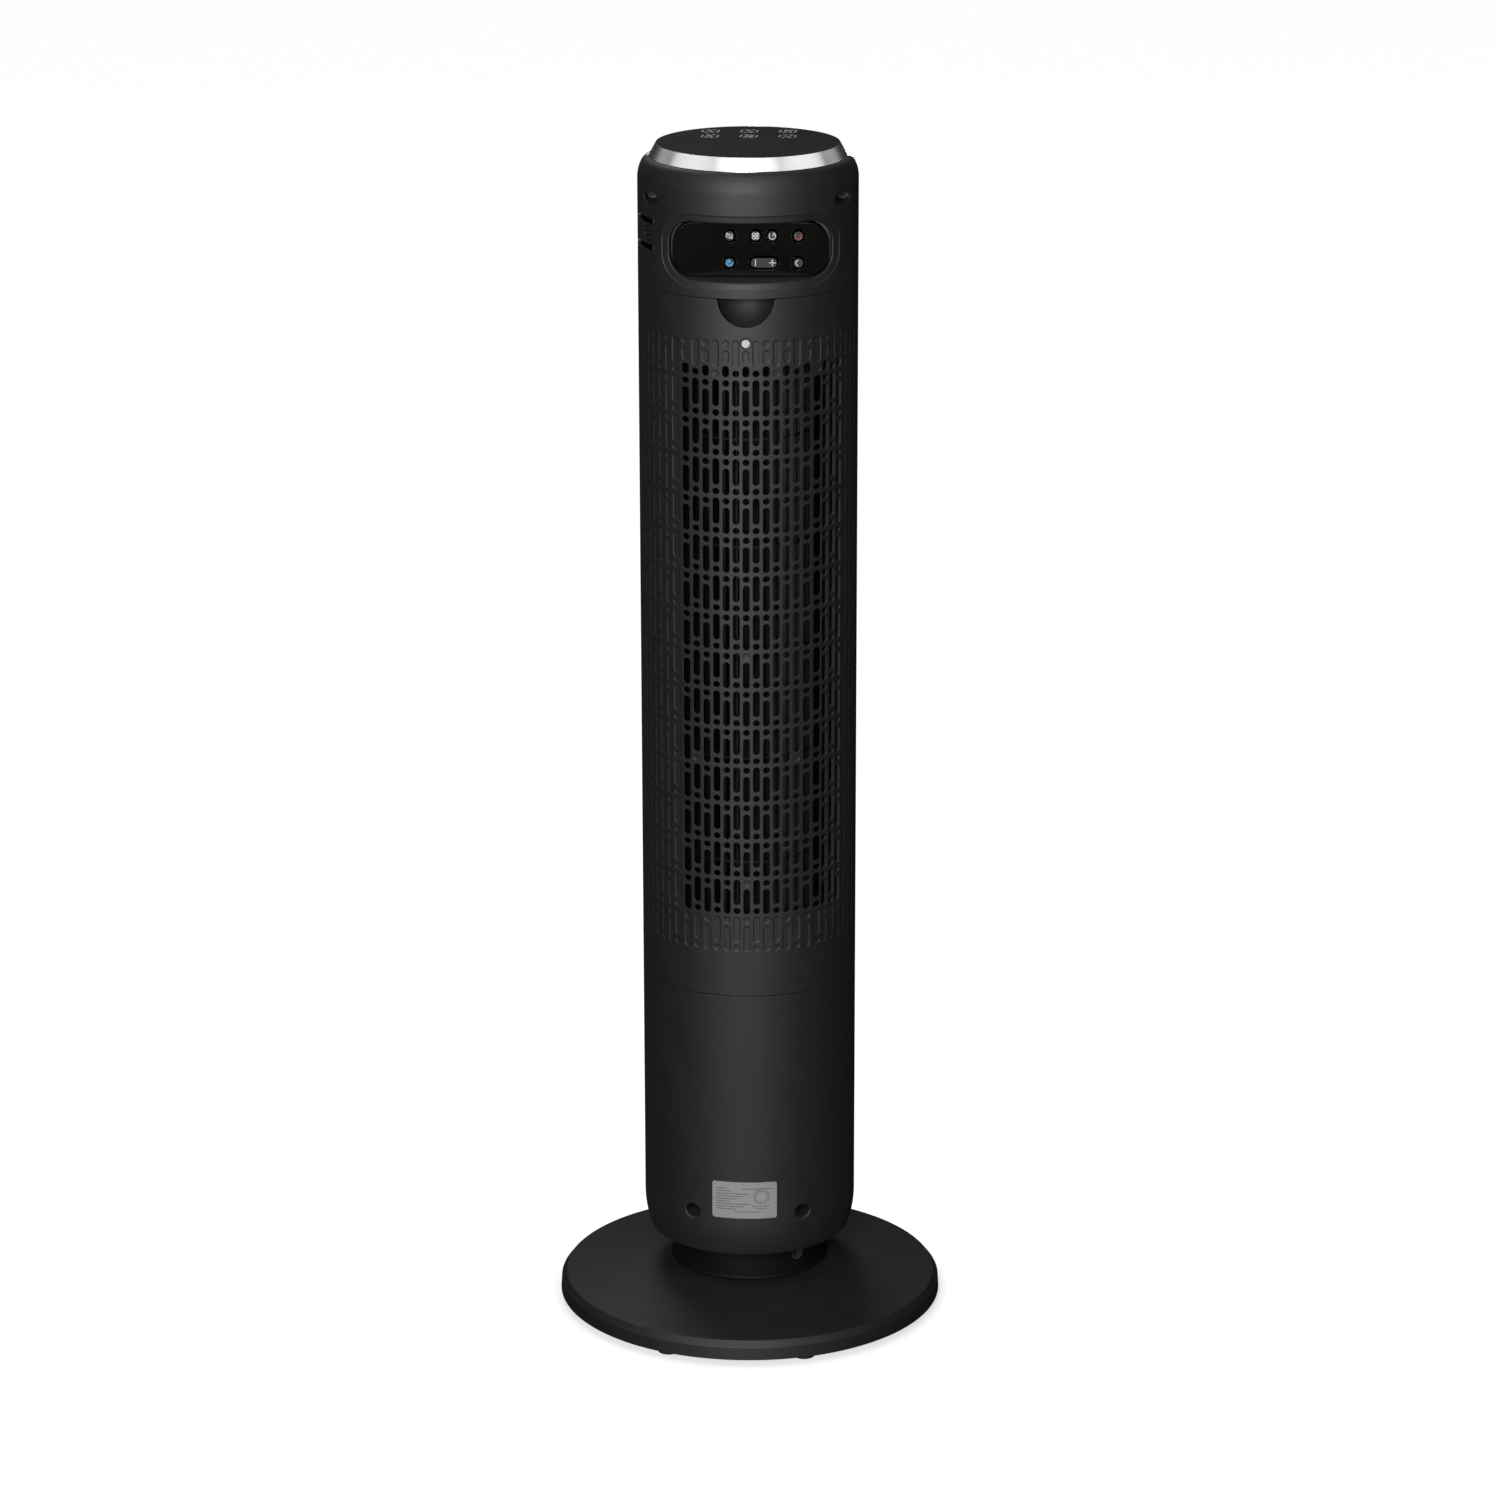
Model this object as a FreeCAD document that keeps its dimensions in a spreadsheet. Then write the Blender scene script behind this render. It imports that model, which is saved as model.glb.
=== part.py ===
import FreeCAD, Part

import math
import os
import re

import Sketcher

# A tower fan: round weighted base, neck, turning tower with a cross-flow wheel, remote control in its head.
# Millimetres. The origin is the centre of the base on the ground, +Z is up, the rear of the fan faces -Y.

DIMENSIONS = {
    "total_height": (920, "ground to top panel"),
    # base
    "base_radius": (150, "outer radius at the ground"),
    "base_gap": (4, "ground to the rim's lower edge"),
    "rim_radius": (149.4, "top of the rim wall"),
    "rim_top": (14.2, "height of the rim wall"),
    "bevel_radius": (145.6, "inner radius of the rim bevel"),
    "bevel_top": (19, "height of the rim bevel"),
    "plateau_radius": (62, "flat at the middle of the cover"),
    "plateau_top": (33, "height of the flat"),
    "base_wall": (3, "thickness of the base cover"),
    "core_radius": (28, "hole in the middle of the base"),
    "plate_radius": (146.2, "bottom plate"),
    "plate_low": (5, "underside of the bottom plate"),
    "plate_thick": (3, "thickness of the bottom plate"),
    "weight_inner": (62, "steel ring"),
    "weight_outer": (112, "steel ring"),
    "weight_thick": (6, "steel ring"),
    "base_boss_ring": (120, "circle of the base screws"),
    "foot_ring": (137, "circle of the feet"),
    "foot_radius": (8, "rubber foot"),
    "foot_turn": (-3.5, "angle of the first foot"),
    # neck and turntable
    "neck_radius": (59.5, "outer radius of the collar"),
    "neck_wall": (2.5, "collar wall"),
    "neck_top": (58.5, "top of the collar"),
    "neck_plate": (3.2, "thickness of the collar's top"),
    "neck_boss_ring": (49, "circle of the neck screws"),
    "gland_height": (50, "height of the cord outlet"),
    "gland_turn": (40, "outlet's angle from the rear"),
    "gland_radius": (4, "bore of the cord outlet"),
    "gland_outer": (5.2, "outside of the gland"),
    "post_radius": (20, "pivot post"),
    "post_bore": (14, "way for the wires"),
    "post_flange": (34, "flange under the collar's top"),
    "post_top": (82, "top of the post"),
    "post_screw_ring": (27.5, "circle of the flange screws"),
    "pivot_play": (0.06, "running clearance on the post"),
    "floor_low": (60, "underside of the tower"),
    "floor_thick": (3, "turntable plate"),
    "floor_radius": (71.8, "turntable plate"),
    "hub_radius": (28, "turntable hub"),
    "hub_top": (66, "top of the turntable hub"),
    "washer_top": (67.6, "thrust washer"),
    "gear_low": (67.6, "fixed gear"),
    "gear_thick": (6, "gear face width"),
    "gear_module": (1.25, "tooth size"),
    "fixed_teeth": (48, "fixed gear"),
    "pinion_teeth": (16, "pinion"),
    "gear_distance": (40.1, "fixed gear to pinion"),
    "nut_thick": (6, "pivot nut"),
    "nut_radius": (27, "pivot nut"),
    "drive_low": (84, "underside of the oscillation motor"),
    "drive_high": (17, "height of the oscillation motor"),
    "drive_radius": (25, "oscillation motor"),
    "drive_ear": (29.5, "screws of the oscillation motor"),
    "drive_shaft": (3, "output shaft radius"),
    # tower housings
    "tower_radius": (82.5, "outer radius of the tower"),
    "wall": (2.5, "housing wall"),
    "skirt_in": (8, "how far the lower edge draws in"),
    "skirt_top": (88.5, "start of the lower rounding"),
    "skirt_small": (4, "small radius of the lower rounding"),
    "shoulder_low": (894.5, "start of the shoulder"),
    "shoulder_top": (910, "top of the shoulder"),
    "shoulder_in": (8.5, "how far the shoulder draws in"),
    "shoulder_small": (6, "small radius of the shoulder"),
    "lip_radius": (66, "opening in the top"),
    "cover_low": (276, "lower seam of the rear cover"),
    "cover_top": (818, "upper seam of the rear cover"),
    "cover_half": (82, "half angle of the cover's opening"),
    "cover_gap": (0.4, "gap around the cover"),
    "liner_radius": (77.6, "inside of the rebate behind the cover"),
    "liner_half": (77, "half angle of the window in the rebate"),
    "liner_low": (284, "lower edge of the window"),
    "apron_low": (767.5, "upper edge of the window"),
    "outlet_half": (42, "half angle of the outlet opening"),
    "outlet_low": (286, "lower edge of the outlet"),
    "outlet_top": (806, "upper edge of the outlet"),
    # rear cover
    "hole_radius": (2.4, "half width of slots and dots"),
    "slot_straight": (15.2, "straight part of a slot"),
    "hole_step": (7.5, "distance between columns"),
    "hole_pitch": (29.8, "vertical repeat"),
    "hole_rows": (14, "vertical repeats"),
    "hole_start": (754.6, "height of the first dot"),
    "notch_radius": (21.3, "finger notch"),
    "cover_screw_height": (784.9, "cover screw"),
    # remote control and niche
    "niche_centre": (3, "sideways place of the niche"),
    "niche_height": (851.5, "middle height of the niche"),
    "niche_width": (119, "niche"),
    "niche_tall": (43, "niche"),
    "niche_corner": (17, "niche"),
    "niche_floor": (48.6, "depth of the niche floor from the axis"),
    "niche_wall": (2.2, "niche walls"),
    "remote_width": (115, "remote control"),
    "remote_tall": (40, "remote control"),
    "remote_corner": (16, "remote control"),
    "remote_middle": (850.6, "middle height of the remote"),
    "remote_back": (49.1, "back of the remote"),
    "remote_face": (58.6, "face of the remote"),
    "face_thick": (1.2, "face plate of the remote"),
    "case_wall": (1.6, "remote case"),
    "key_radius": (5.05, "round button"),
    "key_play": (0.2, "gap around a button"),
    "key_proud": (0.9, "button above the face"),
    "key_flange": (5.7, "rim behind the face"),
    "rocker_half": (6.2, "half distance of the rocker's ends"),
    # fan wheel
    "wheel_back": (6, "wheel axis behind the tower axis"),
    "wheel_radius": (50, "fan wheel"),
    "wheel_low": (292, "underside of the wheel"),
    "wheel_top": (790, "top of the wheel"),
    "blade_count": (32, "blades"),
    "blade_depth": (12, "radial depth of a blade"),
    "blade_thick": (1.3, "blade"),
    "disc_thick": (1.8, "discs of the wheel"),
    "disc_count": (7, "discs of the wheel"),
    "shaft_radius": (4, "motor shaft"),
    "pin_radius": (3, "top pin"),
    "bearing_play": (0.05, "running clearance of the shaft"),
    # inner frame
    "bulkhead_low": (274, "lower bulkhead"),
    "bulkhead_thick": (3, "bulkheads"),
    "bulkhead_high": (800, "upper bulkhead"),
    "scroll_radius": (66, "inside of the scroll"),
    "scroll_wall": (1.8, "sheet of the air duct"),
    "motor_low": (202, "fan motor"),
    "motor_top": (262, "fan motor"),
    "motor_radius": (40, "fan motor"),
    "motor_screw_ring": (48.6, "fan motor screws"),
    # top
    "ring_low_radius": (74, "bright ring"),
    "ring_top_radius": (68.6, "bright ring"),
    "panel_radius": (68.2, "touch panel"),
    "panel_thick": (2.4, "touch panel"),
}

NAMES = set(DIMENSIONS)
PARTS = []

doc = FreeCAD.newDocument("TowerFan")


def make_sheet():
    sheet = doc.addObject("Spreadsheet::Sheet", "Dims")
    for row, (alias, (value, note)) in enumerate(DIMENSIONS.items(), start=1):
        sheet.set(f"A{row}", note)
        sheet.set(f"B{row}", str(value))
        sheet.setAlias(f"B{row}", alias)
    doc.recompute()
    return sheet


dims = make_sheet()


def bind(text):
    """An expression in plain dimension names, pointed at the sheet."""

    def pointed(word):
        name = word.group()
        return "Dims." + name if name in NAMES else name

    return re.sub(r"[a-z][a-z_]*", pointed, str(text))


def size(text):
    """The present value of an expression."""
    return float(dims.evalExpression(bind(text)))


# ---------------------------------------------------------------- sketches and features


def new_body(label):
    body = doc.addObject("PartDesign::Body", label)
    body.Label = label
    PARTS.append(body)
    return body


def new_sketch(body, role, offset="0"):
    """A sketch on the body's own XY, XZ or YZ plane. On XZ a positive offset goes to the rear."""
    sketch = body.newObject("Sketcher::SketchObject", body.Name + "_sketch")
    plane = next(f for f in body.Origin.OriginFeatures if f.Role == role + "_Plane")
    sketch.AttachmentSupport = [(plane, "")]
    sketch.MapMode = "FlatFace"
    sketch.setExpression("AttachmentOffset.Base.z", bind(offset))
    return sketch


def constrain(sketch, *args):
    """Adds a dimension whose last argument is an expression."""
    expression = args[-1]
    index = sketch.addConstraint(Sketcher.Constraint(*args[:-1], size(expression)))
    sketch.setExpression(f"Constraints[{index}]", bind(expression))


def pin_point(sketch, geometry, end, x, y):
    constrain(sketch, "DistanceX", -1, 1, geometry, end, x)
    constrain(sketch, "DistanceY", -1, 1, geometry, end, y)


def arc_between(start, end, radius):
    """The short arc from start to end. A positive radius turns left along the way."""
    chord = end - start
    middle = (start + end) * 0.5
    side = FreeCAD.Vector(-chord.y, chord.x, 0).normalize()
    reach = math.sqrt(max(radius * radius - chord.Length * chord.Length / 4, 0))
    centre = middle + side * math.copysign(reach, radius)
    angles = [math.atan2(point.y - centre.y, point.x - centre.x) for point in (start, end)]
    if radius < 0:
        angles.reverse()
    circle = Part.Circle(centre, FreeCAD.Vector(0, 0, 1), abs(radius))
    return Part.ArcOfCircle(circle, *angles)


def outline(sketch, points):
    """A closed outline through (x, y) or (x, y, r) points, where r bends the edge that starts there."""
    places = [FreeCAD.Vector(size(point[0]), size(point[1]), 0) for point in points]
    edges = []
    for index, point in enumerate(points):
        start = places[index]
        end = places[(index + 1) % len(points)]
        if len(point) == 2:
            edges.append((sketch.addGeometry(Part.LineSegment(start, end)), 1, 2))
            continue
        arc = sketch.addGeometry(arc_between(start, end, size(point[2])))
        first = 1 if size(point[2]) > 0 else 2
        edges.append((arc, first, 3 - first))
    for index, (edge, first, _) in enumerate(edges):
        before, _, last = edges[index - 1]
        sketch.addConstraint(Sketcher.Constraint("Coincident", before, last, edge, first))
        pin_point(sketch, edge, first, points[index][0], points[index][1])
        if len(points[index]) == 3:
            constrain(sketch, "Radius", edge, f"abs({points[index][2]})")


def circle(sketch, x, y, radius):
    centre = FreeCAD.Vector(size(x), size(y), 0)
    edge = sketch.addGeometry(Part.Circle(centre, FreeCAD.Vector(0, 0, 1), size(radius)))
    pin_point(sketch, edge, 3, x, y)
    constrain(sketch, "Radius", edge, radius)


def rectangle(sketch, left, low, right, high):
    outline(sketch, [(left, low), (right, low), (right, high), (left, high)])


def rounded(sketch, x, y, width, tall, corner):
    """A rectangle with round corners about (x, y)."""
    left, right = f"{x} - ({width}) / 2", f"{x} + ({width}) / 2"
    low, high = f"{y} - ({tall}) / 2", f"{y} + ({tall}) / 2"
    outline(
        sketch,
        [
            (f"{left} + {corner}", low),
            (f"{right} - ({corner})", low, corner),
            (right, f"{low} + {corner}"),
            (right, f"{high} - ({corner})", corner),
            (f"{right} - ({corner})", high),
            (f"{left} + {corner}", high, corner),
            (left, f"{high} - ({corner})"),
            (left, f"{low} + {corner}", corner),
        ],
    )


def slot(sketch, x, y, straight, radius):
    """An upright slot about (x, y)."""
    low, high = f"{y} - {straight} / 2", f"{y} + {straight} / 2"
    outline(
        sketch,
        [
            (f"{x} + {radius}", low),
            (f"{x} + {radius}", high, f"{radius} * 1.0001"),
            (f"{x} - {radius}", high),
            (f"{x} - {radius}", low, f"{radius} * 1.0001"),
        ],
    )


def feature(body, kind, sketch, **settings):
    made = body.newObject("PartDesign::" + kind, f"{body.Name}_{kind}")
    made.Profile = sketch
    for name, setting in settings.items():
        if isinstance(setting, str) and name in ("Length", "Angle"):
            made.setExpression(name, bind(setting))
        else:
            setattr(made, name, setting)
    return made


def pad(body, sketch, length, back=False):
    return feature(body, "Pad", sketch, Length=length, Reversed=back)


def pocket(body, sketch, length, back=False):
    """Cuts against the sketch's normal, or along it when back is set."""
    return feature(body, "Pocket", sketch, Length=length, Reversed=back)


def turn(body, sketch, kind="Revolution", angle="360", middle=False, back=False):
    """Turns a sketch on the XZ or YZ plane about the upright axis."""
    axis = (sketch, ["V_Axis"])
    return feature(body, kind, sketch, Angle=angle, ReferenceAxis=axis, Midplane=middle, Reversed=back)


def upright_pattern(body, original, count, distance, down=True):
    """Repeats a feature along the upright axis of its sketch, each step as long as distance."""
    pattern = body.newObject("PartDesign::LinearPattern", body.Name + "_rows")
    pattern.Originals = [original]
    pattern.Refine = False
    pattern.Direction = (original.Profile[0], ["V_Axis"])
    pattern.Reversed = down
    pattern.setExpression("Occurrences", bind(count))
    pattern.setExpression("Length", bind(f"{distance} * ({count} - 1)"))
    body.Tip = pattern
    return pattern


def grid_pattern(body, original, columns, step, rows, pitch):
    pattern = upright_pattern(body, original, rows, pitch)
    pattern.Direction2 = (original.Profile[0], ["H_Axis"])
    pattern.setExpression("Occurrences2", bind(columns))
    pattern.setExpression("Length2", bind(f"{step} * ({columns} - 1)"))
    return pattern


def round_pattern(body, original, count):
    """Repeats a feature made from an XY sketch about the sketch's own normal through the origin."""
    pattern = body.newObject("PartDesign::PolarPattern", body.Name + "_round")
    pattern.Originals = [original]
    pattern.Axis = (original.Profile[0], ["N_Axis"])
    pattern.Angle = 360
    pattern.setExpression("Occurrences", bind(count))
    body.Tip = pattern
    return pattern


# ---------------------------------------------------------------- plain solids


AXES = {
    "up": FreeCAD.Rotation(),
    "rear": FreeCAD.Rotation(FreeCAD.Vector(1, 0, 0), 90),
    "front": FreeCAD.Rotation(FreeCAD.Vector(1, 0, 0), -90),
    "right": FreeCAD.Rotation(FreeCAD.Vector(0, 1, 0), 90),
    "down": FreeCAD.Rotation(FreeCAD.Vector(1, 0, 0), 180),
}


def place(item, x, y, z, way="up"):
    item.Placement = FreeCAD.Placement(FreeCAD.Vector(), AXES[way])
    for axis, text in zip("xyz", (x, y, z)):
        item.setExpression("Placement.Base." + axis, bind(text))
    return item


def cylinder(radius, height, x="0", y="0", z="0", way="up"):
    item = doc.addObject("Part::Cylinder", "round")
    item.setExpression("Radius", bind(radius))
    item.setExpression("Height", bind(height))
    return place(item, x, y, z, way)


def block(width, depth, height, x, y, z):
    """A box centred on x and y, standing on z."""
    item = doc.addObject("Part::Box", "block")
    item.setExpression("Length", bind(width))
    item.setExpression("Width", bind(depth))
    item.setExpression("Height", bind(height))
    return place(item, f"{x} - ({width}) / 2", f"{y} - ({depth}) / 2", z)


def joined(items, kind="Part::MultiFuse"):
    item = doc.addObject(kind, "joined")
    if kind == "Part::Compound":
        item.Links = items
    else:
        item.Shapes = items
    return item


def cut(base, tool):
    item = doc.addObject("Part::Cut", "cut")
    item.Base = base
    item.Tool = tool
    return item


def named(item, label):
    item.Label = label
    PARTS.append(item)
    return item


def tube(outer, inner, height, x="0", y="0", z="0", way="up"):
    return cut(cylinder(outer, height, x, y, z, way), cylinder(inner, height, x, y, z, way))


def screw(head, head_high, shank, length, x, y, z, way):
    """A pan-head screw whose head sits on (x, y, z) and whose shank points along way."""
    shift = {"up": (0, 0, -1), "down": (0, 0, 1), "front": (0, -1, 0), "rear": (0, 1, 0)}[way]
    spots = [f"{spot} + {step} * {head_high}" for spot, step in zip((x, y, z), shift)]
    top = cylinder(head, head_high, *spots, way)
    return joined([top, cylinder(shank, f"{head_high} + {length}", *spots, way)])


def around(ring, count, first=0.0):
    """Evenly spaced places on a circle, as pairs of expressions."""
    for index in range(count):
        angle = first + 360.0 * index / count
        yield f"{ring} * cos({angle})", f"{ring} * sin({angle})"


# ---------------------------------------------------------------- base


def base_cover():
    body = new_body("base_cover")
    shell = new_sketch(body, "XZ")
    outline(
        shell,
        [
            ("base_radius", "base_gap"),
            ("rim_radius", "rim_top"),
            ("bevel_radius", "bevel_top"),
            ("plateau_radius", "plateau_top"),
            ("core_radius", "plateau_top"),
            ("core_radius", "plateau_top - base_wall"),
            ("plateau_radius - 0.5", "plateau_top - base_wall"),
            ("bevel_radius - 1.4", "bevel_top - base_wall"),
            ("rim_radius - base_wall", "rim_top - 1"),
            ("base_radius - base_wall", "base_gap"),
        ],
    )
    turn(body, shell)
    boss = new_sketch(body, "XY", "plate_low + plate_thick")
    circle(boss, "base_boss_ring", "0", "5")
    round_pattern(body, pad(body, boss, "bevel_top - 6"), "6")
    hole = new_sketch(body, "XY", "plate_low + plate_thick")
    circle(hole, "base_boss_ring", "0", "2")
    round_pattern(body, pocket(body, hole, "10", back=True), "6")
    neck_hole = new_sketch(body, "XY", "plateau_top")
    circle(neck_hole, "neck_boss_ring", "0", "2.2")
    round_pattern(body, pocket(body, neck_hole, "base_wall"), "4")


def base_plate():
    body = new_body("base_plate")
    disc = new_sketch(body, "XY", "plate_low")
    circle(disc, "0", "0", "plate_radius")
    circle(disc, "0", "0", "core_radius")
    pad(body, disc, "plate_thick")
    hole = new_sketch(body, "XY", "plate_low")
    circle(hole, "base_boss_ring", "0", "2.2")
    round_pattern(body, pocket(body, hole, "plate_thick", back=True), "6")


def base_fittings():
    weight = tube("weight_outer", "weight_inner", "weight_thick", z="plate_low + plate_thick")
    named(weight, "base_weight")
    feet = []
    for x, y in around("foot_ring", 8, size("foot_turn") - 67.5):
        feet.append(cylinder("foot_radius", "plate_low", x, y))
    named(joined(feet, "Part::Compound"), "rubber_feet")
    screws = []
    for x, y in around("base_boss_ring", 6):
        screws.append(screw("3.6", "1.8", "1.9", "12", x, y, "plate_low", "up"))
    named(joined(screws, "Part::Compound"), "base_screws")


def neck_collar():
    body = new_body("neck_collar")
    shell = new_sketch(body, "XZ")
    outline(
        shell,
        [
            ("neck_radius - neck_wall", "plateau_top"),
            ("plateau_radius", "plateau_top", "-2.6"),
            ("neck_radius", "plateau_top + 2.5"),
            ("neck_radius", "neck_top - 0.8"),
            ("neck_radius - 0.8", "neck_top"),
            ("post_radius + 0.3", "neck_top"),
            ("post_radius + 0.3", "neck_top - neck_plate"),
            ("neck_radius - neck_wall", "neck_top - neck_plate"),
        ],
    )
    turn(body, shell)
    boss = new_sketch(body, "XY", "plateau_top")
    circle(boss, "neck_boss_ring", "0", "4.6")
    round_pattern(body, pad(body, boss, "neck_top - plateau_top - 1"), "4")
    hole = new_sketch(body, "XY", "plateau_top")
    circle(hole, "neck_boss_ring", "0", "1.8")
    round_pattern(body, pocket(body, hole, "14", back=True), "4")
    flange_hole = new_sketch(body, "XY", "neck_top - neck_plate")
    circle(flange_hole, "post_screw_ring * cos(45)", "post_screw_ring * sin(45)", "1.7")
    round_pattern(body, pocket(body, flange_hole, "neck_plate - 0.8", back=True), "4")
    outlet = new_sketch(body, "XZ")
    outlet.AttachmentOffset = FreeCAD.Placement(
        FreeCAD.Vector(), FreeCAD.Rotation(FreeCAD.Vector(0, 1, 0), size("gland_turn"))
    )
    circle(outlet, "0", "gland_height", "gland_outer")
    pocket(body, outlet, "neck_radius + 5", back=True)


def cord_gland():
    body = new_body("cord_gland")
    sketch = new_sketch(body, "XZ", "neck_radius - 5")
    circle(sketch, "0", "gland_height", "gland_outer")
    circle(sketch, "0", "gland_height", "gland_radius")
    pad(body, sketch, "5.2")
    flange = new_sketch(body, "XZ", "neck_radius - 6.5")
    rounded(flange, "0", "gland_height", "2 * gland_outer + 3", "2 * gland_outer - 0.2", "2")
    circle(flange, "0", "gland_height", "gland_radius")
    pad(body, flange, "2.5")
    body.Placement = FreeCAD.Placement(
        FreeCAD.Vector(), FreeCAD.Rotation(FreeCAD.Vector(0, 0, 1), size("gland_turn"))
    )


def pivot_post():
    body = new_body("pivot_post")
    shell = new_sketch(body, "XZ")
    outline(
        shell,
        [
            ("post_bore", "neck_top - neck_plate - 3"),
            ("post_flange", "neck_top - neck_plate - 3"),
            ("post_flange", "neck_top - neck_plate"),
            ("post_radius", "neck_top - neck_plate"),
            ("post_radius", "post_top - 1"),
            ("post_radius - 1", "post_top"),
            ("post_bore", "post_top"),
        ],
    )
    turn(body, shell)
    hole = new_sketch(body, "XY", "neck_top - neck_plate")
    circle(hole, "post_screw_ring * cos(45)", "post_screw_ring * sin(45)", "2")
    round_pattern(body, pocket(body, hole, "3"), "4")


def neck_fittings():
    screws = []
    for x, y in around("neck_boss_ring", 4):
        screws.append(screw("3.5", "1.8", "1.7", "12", x, y, "plateau_top - base_wall", "up"))
    for x, y in around("post_screw_ring", 4, 45.0):
        screws.append(screw("3.5", "1.8", "1.6", "5", x, y, "neck_top - neck_plate - 3", "up"))
    named(joined(screws, "Part::Compound"), "neck_screws")
    named(tube("neck_radius - 4", "42", "floor_low - neck_top", z="neck_top"), "glide_ring")
    named(tube("hub_radius", "post_radius + 0.05", "washer_top - hub_top", z="hub_top"), "thrust_washer")
    nut = tube("nut_radius", "post_radius + 0.05", "nut_thick", z="gear_low + gear_thick")
    notches = []
    for x, y in around("nut_radius", 6):
        notches.append(cylinder("2.6", "nut_thick", x, y, "gear_low + gear_thick"))
    named(cut(nut, joined(notches)), "pivot_nut")


def gear_wire(teeth, module, thinning, start):
    """The outline of a spur gear with involute flanks at 20 degrees, first tooth at angle start."""
    pressure = math.radians(20)
    pitch = teeth * module / 2
    base = pitch * math.cos(pressure)
    tip = pitch + 0.95 * module
    root = pitch - 1.2 * module
    half = math.pi / (2 * teeth) - thinning / pitch + math.tan(pressure) - pressure

    def flank(radius):
        roll = math.acos(min(base / radius, 1.0))
        return half - (math.tan(roll) - roll)

    low = max(base, root)
    radii = [low + (tip - low) * step / 5 for step in range(6)]
    points = []
    for tooth in range(teeth):
        middle = start + 2 * math.pi * tooth / teeth
        rising = [(root, -flank(low))] + [(radius, -flank(radius)) for radius in radii]
        falling = [(radius, -angle) for radius, angle in reversed(rising)]
        for radius, angle in rising + falling:
            turn = middle + angle
            points.append(FreeCAD.Vector(radius * math.cos(turn), radius * math.sin(turn), 0))
    distinct = [point for index, point in enumerate(points) if (point - points[index - 1]).Length > 1e-4]
    return Part.makePolygon(distinct + distinct[:1])


def gear(label, teeth, bore, start, x, y):
    """Gear teeth have no feature of their own here, so the tooth outline is worked out and extruded."""
    wire = gear_wire(int(size(teeth)), size("gear_module"), 0.07, start)
    thick = size("gear_thick")
    solid = Part.Face(wire).extrude(FreeCAD.Vector(0, 0, thick))
    item = doc.addObject("Part::Feature", label)
    item.Shape = solid.cut(Part.makeCylinder(size(bore), thick))
    spot = FreeCAD.Vector(size(x), size(y), size("gear_low"))
    item.Placement = FreeCAD.Placement(spot, FreeCAD.Rotation())
    named(item, label)


def oscillation_drive():
    gear("fixed_gear", "fixed_teeth", "post_radius + 0.05", math.pi / 2, "0", "0")
    half_pitch = math.pi / size("pinion_teeth")
    gear("osc_pinion", "pinion_teeth", "drive_shaft", math.pi / 2 + half_pitch, "0", "gear_distance")
    shaft = cylinder("drive_shaft", "drive_low - gear_low + 6", y="gear_distance", z="gear_low - 0.6")
    named(shaft, "osc_motor_shaft")
    can = cylinder("drive_radius", "drive_high", y="gear_distance", z="drive_low")
    lid = cylinder("drive_radius + 0.8", "1.2", y="gear_distance", z="drive_low + 4")
    ears = block("2 * drive_ear + 9", "9", "1.5", "0", "gear_distance", "drive_low")
    holes = [
        cylinder("drive_shaft + bearing_play", "7", y="gear_distance", z="drive_low"),
        cylinder("1.8", "3", "drive_ear", "gear_distance", "drive_low"),
        cylinder("1.8", "3", "-drive_ear", "gear_distance", "drive_low"),
    ]
    named(cut(joined([can, lid, ears]), joined(holes)), "osc_motor")


# ---------------------------------------------------------------- tower


def tower_floor():
    body = new_body("tower_floor")
    shell = new_sketch(body, "XZ")
    outline(
        shell,
        [
            ("post_radius + pivot_play", "floor_low"),
            ("floor_radius", "floor_low"),
            ("floor_radius", "floor_low + floor_thick"),
            ("hub_radius", "floor_low + floor_thick"),
            ("hub_radius", "hub_top"),
            ("post_radius + pivot_play", "hub_top"),
        ],
    )
    turn(body, shell)
    for side in ("drive_ear", "-drive_ear"):
        boss = new_sketch(body, "XY", "floor_low + 1")
        circle(boss, side, "gear_distance", "4.5")
        pad(body, boss, "drive_low - floor_low - 1")
        hole = new_sketch(body, "XY", "drive_low")
        circle(hole, side, "gear_distance", "1.6")
        pocket(body, hole, "12")


def arc_reach(span, tall, small):
    """The large radius that meets a small one in a quarter round span wide and tall high."""
    return f"(({span})^2 + ({tall})^2 - 2 * ({tall}) * ({small})) / (2 * (({span}) - ({small})))"


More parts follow.
